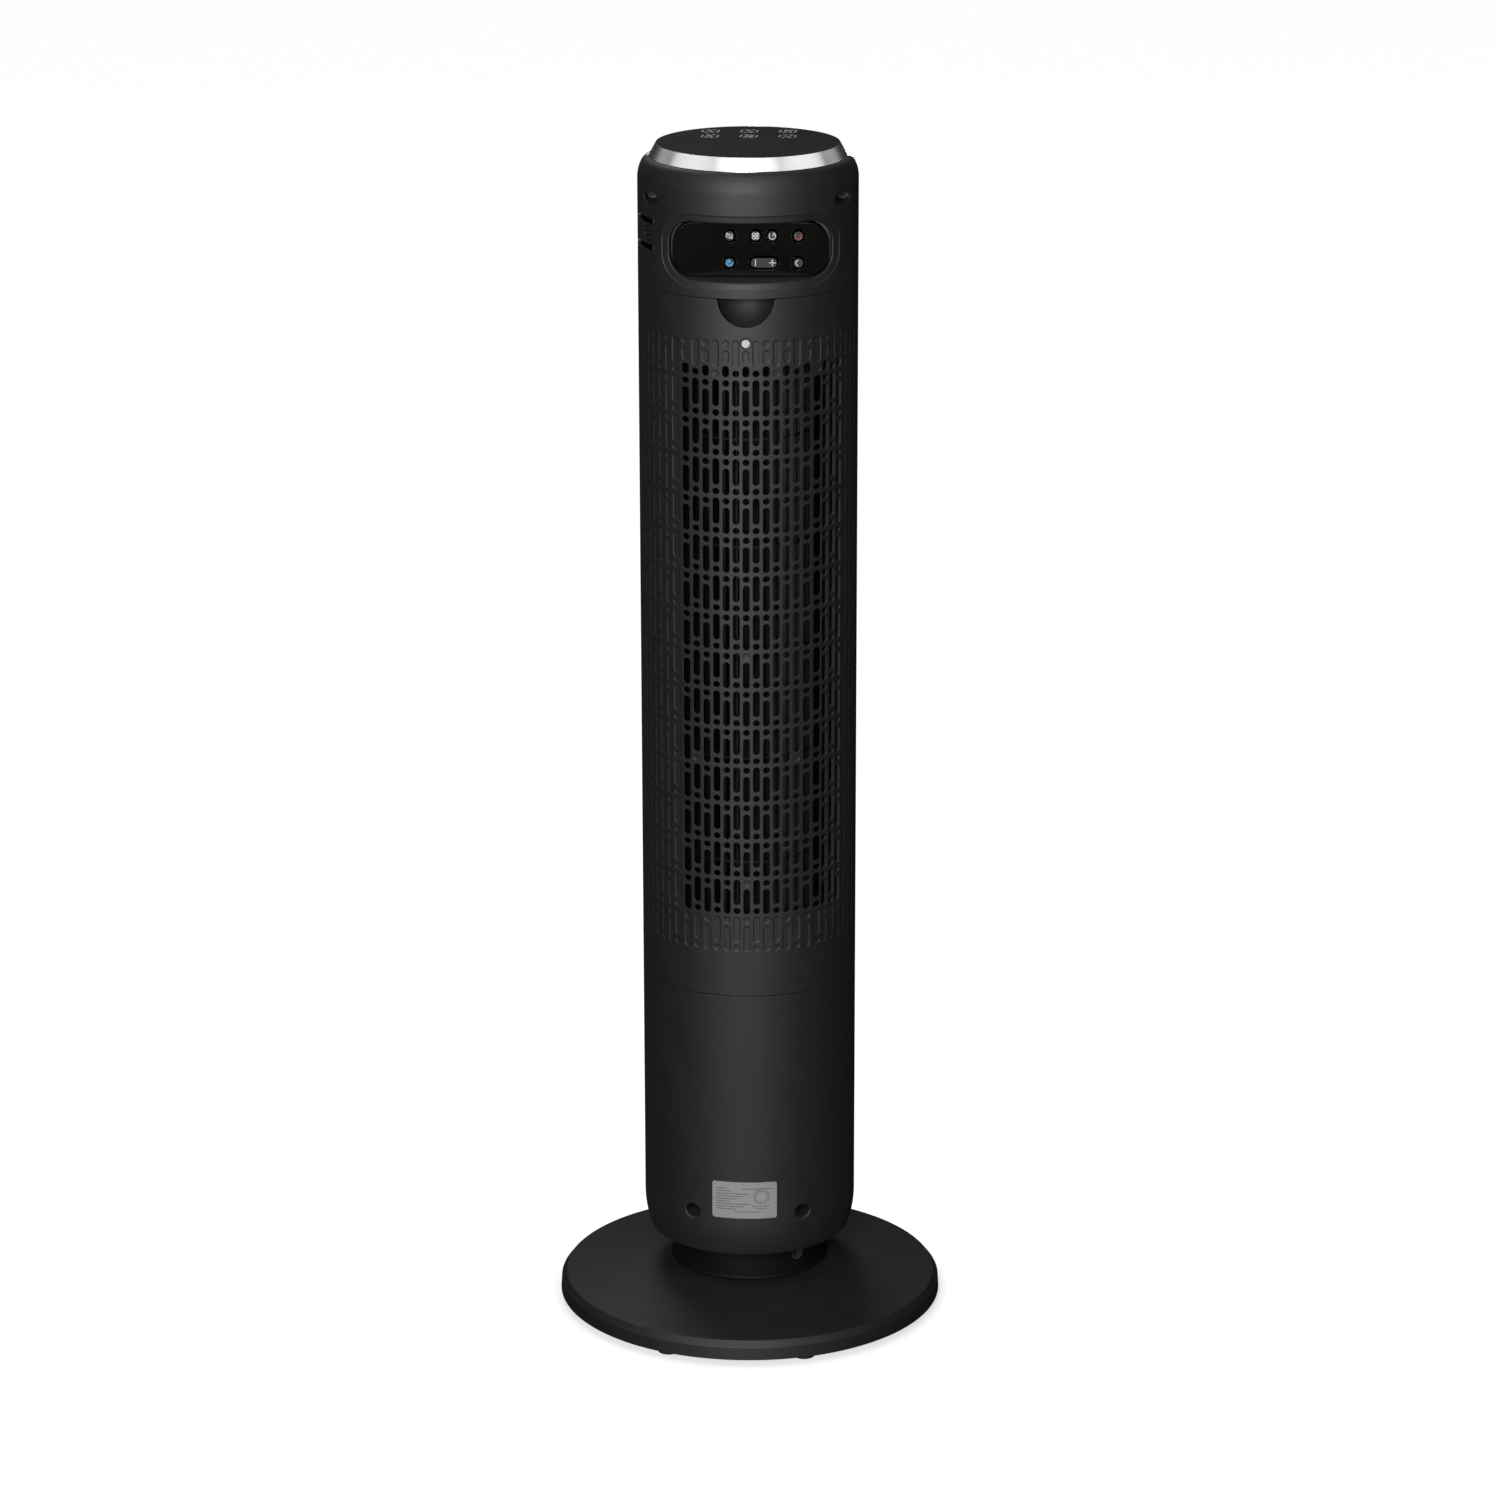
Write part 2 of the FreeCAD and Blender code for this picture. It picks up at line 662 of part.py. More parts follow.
def housing_profile():
    """The wall of the tower from its lower lip to the lip under the bright ring."""
    low_tall = "(skirt_top - floor_low)"
    low_large = arc_reach("skirt_in", low_tall, "skirt_small")
    low_lean = f"(({low_large}) - skirt_in) / (({low_large}) - skirt_small)"
    low_drop = f"({low_tall} - skirt_small) / (({low_large}) - skirt_small)"
    high_tall = "(shoulder_top - shoulder_low)"
    high_large = arc_reach("shoulder_in", high_tall, "shoulder_small")
    high_lean = f"(({high_large}) - shoulder_in) / (({high_large}) - shoulder_small)"
    high_rise = f"({high_tall} - shoulder_small) / (({high_large}) - shoulder_small)"
    foot = "tower_radius - skirt_in"
    crown = "tower_radius - shoulder_in"
    inner = "tower_radius - wall"
    return [
        ("floor_radius + 0.2", "floor_low"),
        (foot, "floor_low", "skirt_small"),
        (
            f"tower_radius - ({low_large}) * (1 - {low_lean})",
            f"skirt_top - ({low_large}) * {low_drop}",
            low_large,
        ),
        ("tower_radius", "skirt_top"),
        ("tower_radius", "shoulder_low", high_large),
        (
            f"tower_radius - ({high_large}) * (1 - {high_lean})",
            f"shoulder_low + ({high_large}) * {high_rise}",
            "shoulder_small",
        ),
        (crown, "shoulder_top"),
        ("lip_radius", "shoulder_top"),
        ("lip_radius", "shoulder_top - wall"),
        (crown, "shoulder_top - wall", "-(shoulder_small - wall) * 3.2"),
        (inner, "shoulder_low"),
        (inner, "skirt_top", "-(skirt_top - floor_low) * 2"),
        (foot, "floor_low + wall"),
        ("floor_radius + 0.2", "floor_low + wall"),
    ]


SCREW_SPOTS = (
    ("70.4", "885.2"),
    ("42.4", "95.2"),
    ("71.1", "106"),
)


def trim_outside(body, low, high):
    """Cuts away what stands out of the tower's round surface between two heights."""
    sketch = new_sketch(body, "XZ")
    rectangle(sketch, "tower_radius", low, "tower_radius + 60", high)
    turn(body, sketch, "Groove")


def ring_part(body, kind, inner, outer, low, high, half, front=False):
    """Adds or cuts a band of the wall, half degrees to each side of the rear or the front."""
    sketch = new_sketch(body, "YZ")
    if front:
        rectangle(sketch, inner, low, outer, high)
    else:
        rectangle(sketch, f"-({outer})", low, f"-({inner})", high)
    return turn(body, sketch, kind, f"2 * ({half})", middle=True)


def rear_housing():
    body = new_body("rear_housing")
    shell = new_sketch(body, "XZ")
    outline(shell, housing_profile())
    turn(body, shell, angle="180", back=True)
    inner = "tower_radius - wall"
    ring_part(body, "Revolution", "liner_radius", inner, "cover_low - 6", "cover_top + 6", "89.9")
    ring_part(body, "Groove", inner, "tower_radius + 5", "cover_low", "cover_top", "cover_half")
    ring_part(body, "Groove", "liner_radius - 2", "tower_radius", "liner_low", "apron_low", "liner_half")
    finger_scoop(body)
    niche_block(body)
    housing_bosses(body)
    board_posts(body)
    trim_outside(body, "skirt_top", "shoulder_low")
    niche_pocket(body)
    screw_pockets(body)
    board_screw_holes(body)
    sensor_vent(body)
    cover_screw_boss(body)


def finger_scoop(body):
    """Half of a shallow bowl behind the cover's notch, open to the rear."""
    bowl = new_sketch(body, "XY", "cover_top")
    outline(bowl, [("0", "-75.14"), ("24.9", "-75.14", "33"), ("0", "-63.8")])
    half_turn(body, bowl, "Revolution")
    hollow = new_sketch(body, "XY", "cover_top")
    outline(hollow, [("0", "-66"), ("0", "-84"), ("24", "-84"), ("24", "-77.5", "30.8")])
    half_turn(body, hollow, "Groove")


def half_turn(body, sketch, kind):
    """Turns a level sketch half round about its front-to-rear axis, through the space below it."""
    axis = (sketch, ["V_Axis"])
    return feature(body, kind, sketch, Angle="180", ReferenceAxis=axis, Reversed=False)


def niche_block(body):
    sketch = new_sketch(body, "XZ", "niche_floor - niche_wall")
    thick = "2 * niche_wall"
    rounded(
        sketch,
        "niche_centre",
        "niche_height",
        f"niche_width + {thick}",
        f"niche_tall + {thick}",
        "niche_corner + niche_wall",
    )
    pad(body, sketch, "40")


def niche_pocket(body):
    sketch = new_sketch(body, "XZ", "niche_floor")
    rounded(sketch, "niche_centre", "niche_height", "niche_width", "niche_tall", "niche_corner")
    pocket(body, sketch, "60", back=True)


def housing_bosses(body):
    """Tubes for the screws that hold the two housings together."""
    for x, z in SCREW_SPOTS:
        for side in ("", "-"):
            boss = new_sketch(body, "XZ", "10")
            circle(boss, side + x, z, "6.2")
            pad(body, boss, "66")


BOARD_SPOTS = [(x, z) for x in ("36", "-36") for z in ("130", "190")]


def screw_pockets(body):
    for x, z in SCREW_SPOTS:
        for side in ("", "-"):
            well = new_sketch(body, "XZ", "13")
            circle(well, side + x, z, "4.2")
            pocket(body, well, "75", back=True)
            hole = new_sketch(body, "XZ", "9")
            circle(hole, side + x, z, "2")
            pocket(body, hole, "6", back=True)


def board_posts(body):
    for x, z in BOARD_SPOTS:
        post = new_sketch(body, "XZ", "54")
        circle(post, x, z, "3.6")
        pad(body, post, "24")


def board_screw_holes(body):
    for x, z in BOARD_SPOTS:
        hole = new_sketch(body, "XZ", "54")
        circle(hole, x, z, "1.6")
        pocket(body, hole, "8", back=True)


def sensor_vent(body):
    """Two long level slots and four short thin ones between them, through the left wall only."""
    for height in ("867.7", "848.2"):
        cut_slot = new_sketch(body, "YZ", "-60")
        rounded(cut_slot, "-27.5", height, "40", "4.7", "2.3")
        pocket(body, cut_slot, "30")
    for step in range(4):
        low = f"niche_height + 1.5 + 3.4 * {step}"
        thin = new_sketch(body, "YZ", "-60")
        rectangle(thin, "-42", low, "-31", f"{low} + 1.2")
        pocket(body, thin, "30")


def cover_screw_boss(body):
    hole = new_sketch(body, "XZ", "liner_radius - 3")
    circle(hole, "0", "cover_screw_height", "1.7")
    pocket(body, hole, "8", back=True)


def front_housing():
    body = new_body("front_housing")
    shell = new_sketch(body, "XZ")
    outline(shell, housing_profile())
    turn(body, shell, angle="180")
    inner = "tower_radius - wall"
    band = ("outlet_low - 8", "outlet_top + 8", "outlet_half + 5")
    ring_part(body, "Revolution", "liner_radius", inner, *band, front=True)
    opening = ("outlet_low", "outlet_top", "outlet_half")
    ring_part(body, "Groove", inner, "tower_radius + 5", *opening, front=True)
    window = ("outlet_low + 6", "outlet_top - 6", "outlet_half - 4.5")
    ring_part(body, "Groove", "liner_radius - 2", "tower_radius", *window, front=True)
    for x, z in SCREW_SPOTS:
        for side in ("", "-"):
            boss = new_sketch(body, "XZ", "10")
            circle(boss, side + x, z, "4.6")
            pad(body, boss, f"9 + sqrt(tower_radius^2 - {x}^2)", back=True)
    trim_outside(body, "skirt_top", "shoulder_low")
    for x, z in SCREW_SPOTS:
        for side in ("", "-"):
            hole = new_sketch(body, "XZ", "10")
            circle(hole, side + x, z, "1.7")
            pocket(body, hole, "22")
    display = new_sketch(body, "XZ", "-60")
    rounded(display, "0", "852", "64.4", "24.4", "5.2")
    pocket(body, display, "30")


def outlet_grille():
    """A curved panel with upright slots, the same width as the gaps of the rear cover."""
    body = new_body("outlet_grille")
    half = "outlet_half - 0.3"
    edges = ("outlet_low + 0.3", "outlet_top - 0.3")
    ring_part(body, "Revolution", "tower_radius - wall + 0.2", "tower_radius", *edges, half, front=True)
    opening = new_sketch(body, "XZ", "-60")
    slot(opening, "-48", "outlet_top - 56", "80", "2.4")
    grid_pattern(body, pocket(body, opening, "30"), "13", "8", "5", "(outlet_top - outlet_low - 8) / 5")


def display_parts():
    body = new_body("display_window")
    lens = new_sketch(body, "XZ", "-72")
    rounded(lens, "0", "852", "64", "24", "5")
    pad(body, lens, "12", back=True)
    outside = new_sketch(body, "XY", "830")
    circle(outside, "0", "0", "tower_radius + 30")
    circle(outside, "0", "0", "tower_radius")
    pocket(body, outside, "50", back=True)
    inside = new_sketch(body, "XY", "830")
    circle(inside, "0", "0", "tower_radius - wall")
    pocket(body, inside, "50", back=True)
    board = block("60", "1.6", "30", "0", "66.5", "837")
    digits = [block("11", "4", "16", x, "69.3", "844") for x in ("-14", "0", "14")]
    receiver = cylinder("2.5", "5", "24", "67.3", "852", "front")
    named(joined([board, receiver] + digits), "display_board")


def top_parts():
    body = new_body("chrome_ring")
    ring = new_sketch(body, "XZ")
    outline(
        ring,
        [
            ("ring_low_radius - 3", "shoulder_top"),
            ("ring_low_radius", "shoulder_top"),
            ("ring_top_radius", "total_height"),
            ("panel_radius + 0.1", "total_height"),
            ("panel_radius + 0.1", "total_height - panel_thick"),
            ("lip_radius", "total_height - panel_thick"),
            ("lip_radius", "shoulder_top + 1.6"),
            ("ring_low_radius - 3", "shoulder_top + 1.6"),
        ],
    )
    turn(body, ring)
    panel = new_body("touch_panel")
    disc = new_sketch(panel, "XY", "total_height - panel_thick")
    circle(disc, "0", "0", "panel_radius")
    pad(panel, disc, "panel_thick - 0.3")
    top = new_sketch(panel, "XY", "total_height - 0.3")
    circle(top, "0", "0", "panel_radius - 0.3")
    pad(panel, top, "0.3")
    board = cylinder("58", "1.6", z="total_height - 9")
    springs = []
    for x in ("-29", "0", "29"):
        for y in ("24", "46"):
            springs.append(cylinder("4", "9 - panel_thick", x, y, "total_height - 9"))
    buzzer = cylinder("6", "4.5", "-20", "-30", "total_height - 9")
    named(joined([board, buzzer] + springs), "touch_board")


def small_tower_parts():
    sensor = block("1.6", "26", "34", "-69", "-22", "841")
    bead = cylinder("1.6", "4", "-72.6", "-25", "858")
    leads = block("4", "0.8", "0.8", "-71", "-25", "859")
    named(joined([sensor, bead, leads]), "sensor_board")
    screws = []
    for x, z in SCREW_SPOTS:
        for side in ("", "-"):
            screws.append(screw("3.4", "2", "1.65", "22", side + x, "-13", z, "front"))
    named(joined(screws, "Part::Compound"), "housing_screws")
    short_screw = ("2.8", "1.6", "1.5", "8")
    short = []
    for x in ("drive_ear", "-drive_ear"):
        short.append(screw(*short_screw, x, "gear_distance", "drive_low + 1.5", "down"))
    for x, z in BOARD_SPOTS:
        short.append(screw(*short_screw, x, "-52.4", z, "rear"))
    named(joined(short, "Part::Compound"), "small_screws")


def electronics():
    board = block("84", "1.6", "76", "0", "-53.2", "122")
    holes = [cylinder("1.6", "4", x, "-51", z, "rear") for x, z in BOARD_SPOTS]
    named(cut(board, joined(holes)), "main_board")
    transformer = block("26", "20", "24", "-16", "-42.4", "128")
    capacitor = cylinder("7", "20", "14", "-52.4", "140", "front")
    capacitor_small = cylinder("4", "11", "28", "-52.4", "146", "front")
    relay = block("20", "15", "16", "-16", "-44.9", "160")
    triac = block("10", "8", "18", "12", "-48.4", "166")
    plug = block("24", "8", "7", "4", "-48.4", "188")
    items = [transformer, capacitor, capacitor_small, relay, triac, plug]
    named(joined(items, "Part::Compound"), "board_components")
    body = new_body("rating_label")
    area = new_sketch(body, "XZ", "70")
    rounded(area, "-2.2", "108.5", "50", "30", "2")
    pad(body, area, "20")
    outside = new_sketch(body, "XY", "85")
    circle(outside, "0", "0", "tower_radius + 30")
    circle(outside, "0", "0", "tower_radius + 0.15")
    pocket(body, outside, "50", back=True)
    inside = new_sketch(body, "XY", "85")
    circle(inside, "0", "0", "tower_radius")
    pocket(body, inside, "50", back=True)


# ---------------------------------------------------------------- air duct and fan wheel


def bulkheads():
    body = new_body("lower_bulkhead")
    disc = new_sketch(body, "XY", "bulkhead_low")
    circle(disc, "0", "0", "liner_radius - 0.2")
    circle(disc, "0", "-wheel_back", "16")
    pad(body, disc, "bulkhead_thick")
    for x, y in motor_spots():
        boss = new_sketch(body, "XY", "bulkhead_low")
        circle(boss, x, y, "1.8")
        pocket(body, boss, "bulkhead_thick", back=True)
    upper = new_body("upper_bulkhead")
    plate = new_sketch(upper, "XY", "bulkhead_high")
    circle(plate, "0", "0", "liner_radius - 0.2")
    pad(upper, plate, "bulkhead_thick")
    seat = new_sketch(upper, "XY", "bulkhead_high")
    circle(seat, "0", "-wheel_back", "13")
    pad(upper, seat, "12")
    bore = new_sketch(upper, "XY", "bulkhead_high")
    circle(bore, "0", "-wheel_back", "9")
    pocket(upper, bore, "12", back=True)
    notch = new_sketch(upper, "XY", "bulkhead_high")
    rectangle(notch, "-30", "-90", "30", "-62.5")
    pocket(upper, notch, "12", back=True)
    named(tube("9", "pin_radius + bearing_play", "11", y="-wheel_back", z="bulkhead_high"), "top_bearing")


def scroll_wall():
    """A sheet that spirals round the wheel's left side and leads the air to the outlet."""
    body = new_body("scroll_wall")
    plan = new_sketch(body, "XY", "bulkhead_low + bulkhead_thick")
    x, y = "5.8", "3.9"

    def spot(radius, angle):
        return f"{x} + ({radius}) * cos({angle})", f"{y} + ({radius}) * sin({angle})"

    outer = "scroll_radius + scroll_wall"
    outline(
        plan,
        [
            ("-50.3", "57.5"),
            (*spot("scroll_radius", 155), "scroll_radius"),
            (*spot("scroll_radius", 190), "scroll_radius"),
            spot("scroll_radius", 225),
            ("-49", "-58.8"),
            ("-50.8", "-57.6"),
            (*spot(outer, 223.4), f"-({outer})"),
            (*spot(outer, 190), f"-({outer})"),
            spot(outer, 155),
            ("-52.2", "56.3"),
        ],
    )
    pad(body, plan, "bulkhead_high - bulkhead_low - bulkhead_thick")


def tongue():
    """The cut-off: a folded sheet whose round nose runs close to the wheel."""
    body = new_body("tongue")
    plan = new_sketch(body, "XY", "bulkhead_low + bulkhead_thick")
    outline(
        plan,
        [
            ("49.2", "24"),
            ("64.5", "-38.6"),
            ("66.3", "-38.2"),
            ("51.6", "25.4", "-1.6"),
            ("51.2", "27"),
            ("52.2", "56.8"),
            ("50.4", "57.6"),
            ("48.6", "27.6", "2.6"),
        ],
    )
    pad(body, plan, "bulkhead_high - bulkhead_low - bulkhead_thick")


def impeller():
    """Thin curved blades between level discs; the end discs carry the hub and the top pin."""
    body = new_body("impeller")
    base = new_sketch(body, "XY", "wheel_low")
    circle(base, "0", "0", "wheel_radius")
    pad(body, base, "disc_thick")
    hub = new_sketch(body, "XY", "wheel_low - 12")
    circle(hub, "0", "0", "11")
    pad(body, hub, "26")
    blade = new_sketch(body, "XY", "wheel_low + 0.5")
    inner = "(wheel_radius - blade_depth)"
    outline(
        blade,
        [
            (f"{inner} * cos(5)", f"{inner} * sin(5)", "13"),
            ("(wheel_radius - 0.2) * cos(13)", "(wheel_radius - 0.2) * sin(13)"),
            (
                "(wheel_radius - 0.2) * cos(13) - 0.3",
                "(wheel_radius - 0.2) * sin(13) + blade_thick",
                "-13",
            ),
            (f"{inner} * cos(5) - 0.2", f"{inner} * sin(5) + blade_thick"),
        ],
    )
    round_pattern(body, pad(body, blade, "wheel_top - wheel_low - 1"), "blade_count")
    step = "(wheel_top - wheel_low - disc_thick) / (disc_count - 1)"
    ring = new_sketch(body, "XY", f"wheel_low + {step}")
    circle(ring, "0", "0", "wheel_radius")
    circle(ring, "0", "0", "wheel_radius - blade_depth - 2")
    disc = pad(body, ring, "disc_thick")
    rings = body.newObject("PartDesign::LinearPattern", "impeller_discs")
    rings.Originals = [disc]
    rings.Direction = (ring, ["N_Axis"])
    rings.setExpression("Occurrences", bind("disc_count - 1"))
    rings.setExpression("Length", bind(f"{step} * (disc_count - 2)"))
    body.Tip = rings
    top = new_sketch(body, "XY", "wheel_top - disc_thick")
    circle(top, "0", "0", "wheel_radius - blade_depth - 1")
    pad(body, top, "disc_thick")
    cap = new_sketch(body, "XY", "wheel_top - 12")
    circle(cap, "0", "0", "9")
    pad(body, cap, "12")
    bore = new_sketch(body, "XY", "wheel_low - 12")
    circle(bore, "0", "0", "shaft_radius")
    pocket(body, bore, "24", back=True)
    seat = new_sketch(body, "XY", "wheel_top")
    circle(seat, "0", "0", "pin_radius")
    pocket(body, seat, "10")
    body.setExpression("Placement.Base.y", bind("-wheel_back"))
    pin = cylinder("pin_radius", "20", y="-wheel_back", z="wheel_top - 10")
    named(pin, "top_pin")


def motor_spots():
    for angle in (30, 150, 270):
        yield f"motor_screw_ring * cos({angle})", f"motor_screw_ring * sin({angle}) - wheel_back"


def fan_motor():
    body = new_body("motor_can")
    shell = new_sketch(body, "XZ")
    seat = "shaft_radius + 7"
    outline(
        shell,
        [
            (f"{seat} + 2", "motor_low"),
            ("motor_radius - 3", "motor_low", "3"),
            ("motor_radius", "motor_low + 3"),
            ("motor_radius", "motor_top - 12"),
            ("motor_radius - 2", "motor_top - 12"),
            ("motor_radius - 2", "motor_low + 2"),
            (f"{seat} + 2", "motor_low + 2"),
            (f"{seat} + 2", "motor_low + 9"),
            (seat, "motor_low + 9"),
            (seat, "motor_low - 2"),
            (f"{seat} + 2", "motor_low - 2"),
        ],
    )
    turn(body, shell)
    body.setExpression("Placement.Base.y", bind("-wheel_back"))
    cap = new_body("motor_cap")
    lid = new_sketch(cap, "XY", "motor_top - 12")
    circle(lid, "0", "0", "motor_radius")
    circle(lid, "0", "0", seat)
    pad(cap, lid, "6")
    neck = new_sketch(cap, "XY", "motor_top - 7")
    circle(neck, "0", "0", f"{seat} + 3")
    circle(neck, "0", "0", seat)
    pad(cap, neck, "6")
    ear = new_sketch(cap, "XY", "motor_top - 9")
    outline(ear, [("34", "-7"), ("49", "-7", "7.01"), ("49", "7"), ("34", "7")])
    ears = pad(cap, ear, "3")
    round_pattern(cap, ears, "3")
    hole = new_sketch(cap, "XY", "motor_top - 9")
    circle(hole, "motor_screw_ring", "0", "5")
    round_pattern(cap, pocket(cap, hole, "3", back=True), "3")
    cap.Placement = FreeCAD.Placement(FreeCAD.Vector(), FreeCAD.Rotation(FreeCAD.Vector(0, 0, 1), 30))
    cap.setExpression("Placement.Base.y", bind("-wheel_back"))


def motor_inside():
    body = new_body("motor_stator")
    core = new_sketch(body, "XY", "motor_low + 12")
    circle(core, "0", "0", "motor_radius - 2.2")
    circle(core, "0", "0", "22")
    pad(body, core, "30")
    gap = new_sketch(body, "XY", "motor_low + 12")
    rectangle(gap, "20", "-1.3", "31", "1.3")
    round_pattern(body, pocket(body, gap, "30", back=True), "12")
    body.setExpression("Placement.Base.y", bind("-wheel_back"))
    rotor = cylinder("21.4", "28", y="-wheel_back", z="motor_low + 13")
    shaft = cylinder("shaft_radius", "wheel_low + 8 - motor_low + 6", y="-wheel_back", z="motor_low - 6")
    named(joined([rotor, shaft]), "motor_rotor")
    races = []
    for z in ("motor_low", "motor_top - 10"):
        races.append(tube("shaft_radius + 7", "shaft_radius + bearing_play", "7", y="-wheel_back", z=z))
    named(joined(races, "Part::Compound"), "motor_bearings")
    bushes = []
    screws = []
    for x, y in motor_spots():
        washer = cylinder("7.5", "bulkhead_low - motor_top + 6", x, y, "motor_top - 6")
        neck = cylinder("5", "3", x, y, "motor_top - 9")
        lower = cylinder("7.5", "3", x, y, "motor_top - 12")
        way = cylinder("2", "30", x, y, "motor_top - 14")
        bushes.append(cut(joined([washer, neck, lower]), way))
        length = "bulkhead_low - motor_top + 15"
        screws.append(screw("4.2", "2.4", "1.75", length, x, y, "motor_top - 12", "up"))
    named(joined(bushes, "Part::Compound"), "motor_grommets")
    named(joined(screws, "Part::Compound"), "motor_screws")


# ---------------------------------------------------------------- rear cover


def rear_cover():
    """Slots and dots in staggered columns. The outermost columns narrow as the wall turns away."""
    body = new_body("rear_cover")
    inner = "tower_radius - wall + cover_gap"
    half = "cover_half - 0.4"
    edges = ("cover_low + cover_gap", "cover_top - cover_gap")
    ring_part(body, "Revolution", inner, "tower_radius", *edges, half)
    notch = new_sketch(body, "XZ", "60")
    circle(notch, "0", "cover_top", "notch_radius")
    pocket(body, notch, "40", back=True)
    screw_hole = new_sketch(body, "XZ", "60")
    circle(screw_hole, "0", "cover_screw_height", "1.9")
    pocket(body, screw_hole, "40", back=True)
    recess = new_sketch(body, "XZ", "tower_radius - 1")
    circle(recess, "0", "cover_screw_height", "4.2")
    pocket(body, recess, "4", back=True)
    even = ("hole_start", "hole_start - hole_pitch / 2")
    odd = ("hole_start - hole_pitch * 3 / 4", "hole_start - hole_pitch / 4")
    hole_columns(body, "-6 * hole_step", *even)
    hole_columns(body, "-5 * hole_step", *odd)
    narrow_columns(body, 45.0, *even)
    narrow_columns(body, 50.5, *odd)
    narrow_columns(body, 56.0, *even)


def hole_columns(body, x, dot_at, slot_at):
    """Seven columns two steps apart, each with a dot and a slot in every repeat."""
    sketch = new_sketch(body, "XZ", "40")
    circle(sketch, x, dot_at, "hole_radius")
    slot(sketch, x, slot_at, "slot_straight", "hole_radius")
    holes = pocket(body, sketch, "60", back=True)
    grid_pattern(body, holes, "7", "2 * hole_step", "hole_rows", "hole_pitch")


def narrow_columns(body, angle, dot_at, slot_at):
    x = f"tower_radius * sin({angle})"
    half = f"hole_radius * cos({angle})"
    sketch = new_sketch(body, "XZ", "36")
    slot(sketch, x, slot_at, "slot_straight + 1.6", half)
    slot(sketch, x, dot_at, "1.6", half)
    upright_pattern(body, pocket(body, sketch, "60", back=True), "hole_rows", "hole_pitch")


def cover_screw():
    item = screw("3", "1.6", "1.6", "9", "0", "-(tower_radius - 1)", "cover_screw_height", "front")
    named(item, "cover_screw")


# ---------------------------------------------------------------- remote control


KEYS = {
    "mute_button": ("-15.4", "10"),
    "mode_button": ("3.7", "10"),
    "timer_button": ("16.1", "10"),
    "power_button": ("35.2", "10"),
    "display_button": ("-15.4", "-10"),
    "swing_button": ("35.2", "-10"),
}
ROCKER = ("9.9", "-10")


def remote_outline(sketch, less="0"):
    rounded(
        sketch,
        "niche_centre",
        "remote_middle",
        f"remote_width - 2 * ({less})",
        f"remote_tall - 2 * ({less})",
        f"remote_corner - ({less})",
    )


def key_places():
    for label, (x, z) in KEYS.items():
        yield label, f"niche_centre + {x}", f"remote_middle + {z}"


def rocker_outline(sketch, more="0"):
    x, z = f"niche_centre + {ROCKER[0]}", f"remote_middle + {ROCKER[1]}"
    reach = f"rocker_half + key_radius + ({more})"
    radius = f"key_radius + ({more})"
    outline(
        sketch,
        [
            (f"{x} - ({reach}) + {radius}", f"{z} - ({radius})"),
            (f"{x} + ({reach}) - ({radius})", f"{z} - ({radius})", f"({radius}) * 1.0001"),
            (f"{x} + ({reach}) - ({radius})", f"{z} + {radius}"),
            (f"{x} - ({reach}) + {radius}", f"{z} + {radius}", f"({radius}) * 1.0001"),
        ],
    )


def remote_case():
    body = new_body("remote_case")
    block_sketch = new_sketch(body, "XZ", "remote_back")
    remote_outline(block_sketch)
    pad(body, block_sketch, "remote_face - face_thick - remote_back")
    hollow = new_sketch(body, "XZ", "remote_back + case_wall")
    remote_outline(hollow, "case_wall")
    pocket(body, hollow, "20", back=True)
    door = new_sketch(body, "XZ", "remote_back - 1")
    rounded(door, "niche_centre - 38", "remote_middle", "28", "24", "3")
    pocket(body, door, "10", back=True)
    led = new_sketch(body, "YZ", "niche_centre + remote_width / 2 - 6")
    circle(led, "-(remote_back + 4.6)", "remote_middle", "2.4")
    pocket(body, led, "10", back=True)


def remote_face():
    body = new_body("remote_face")
    plate = new_sketch(body, "XZ", "remote_face - face_thick")
    remote_outline(plate)
    pad(body, plate, "face_thick")
    for _, x, z in key_places():
        hole = new_sketch(body, "XZ", "remote_face - 4")
        circle(hole, x, z, "key_radius + key_play")
        pocket(body, hole, "10", back=True)
    hole = new_sketch(body, "XZ", "remote_face - 4")
    rocker_outline(hole, "key_play + 0.1")
    pocket(body, hole, "10", back=True)


def remote_keys():
    for label, x, z in key_places():
        body = new_body(label)
        rim = new_sketch(body, "XZ", "remote_face - face_thick - 1.6")
        circle(rim, x, z, "key_flange")
        pad(body, rim, "1")
        cap = new_sketch(body, "XZ", "remote_face - face_thick - 3")
        circle(cap, x, z, "key_radius")
        pad(body, cap, "face_thick + 3 + key_proud")
    body = new_body("speed_rocker")
    cap = new_sketch(body, "XZ", "remote_face - face_thick - 1.6")
    rocker_outline(cap)
    pad(body, cap, "face_thick + 1.6 + key_proud")
    keel = new_sketch(body, "XZ", "remote_back + 4.4")
    middle = f"niche_centre + {ROCKER[0]}"
    height = f"remote_middle + {ROCKER[1]}"
    rectangle(keel, f"{middle} - 1", f"{height} - 4", f"{middle} + 1", f"{height} + 4")
    pad(body, keel, "remote_face - face_thick - 1 - remote_back - 4.4")


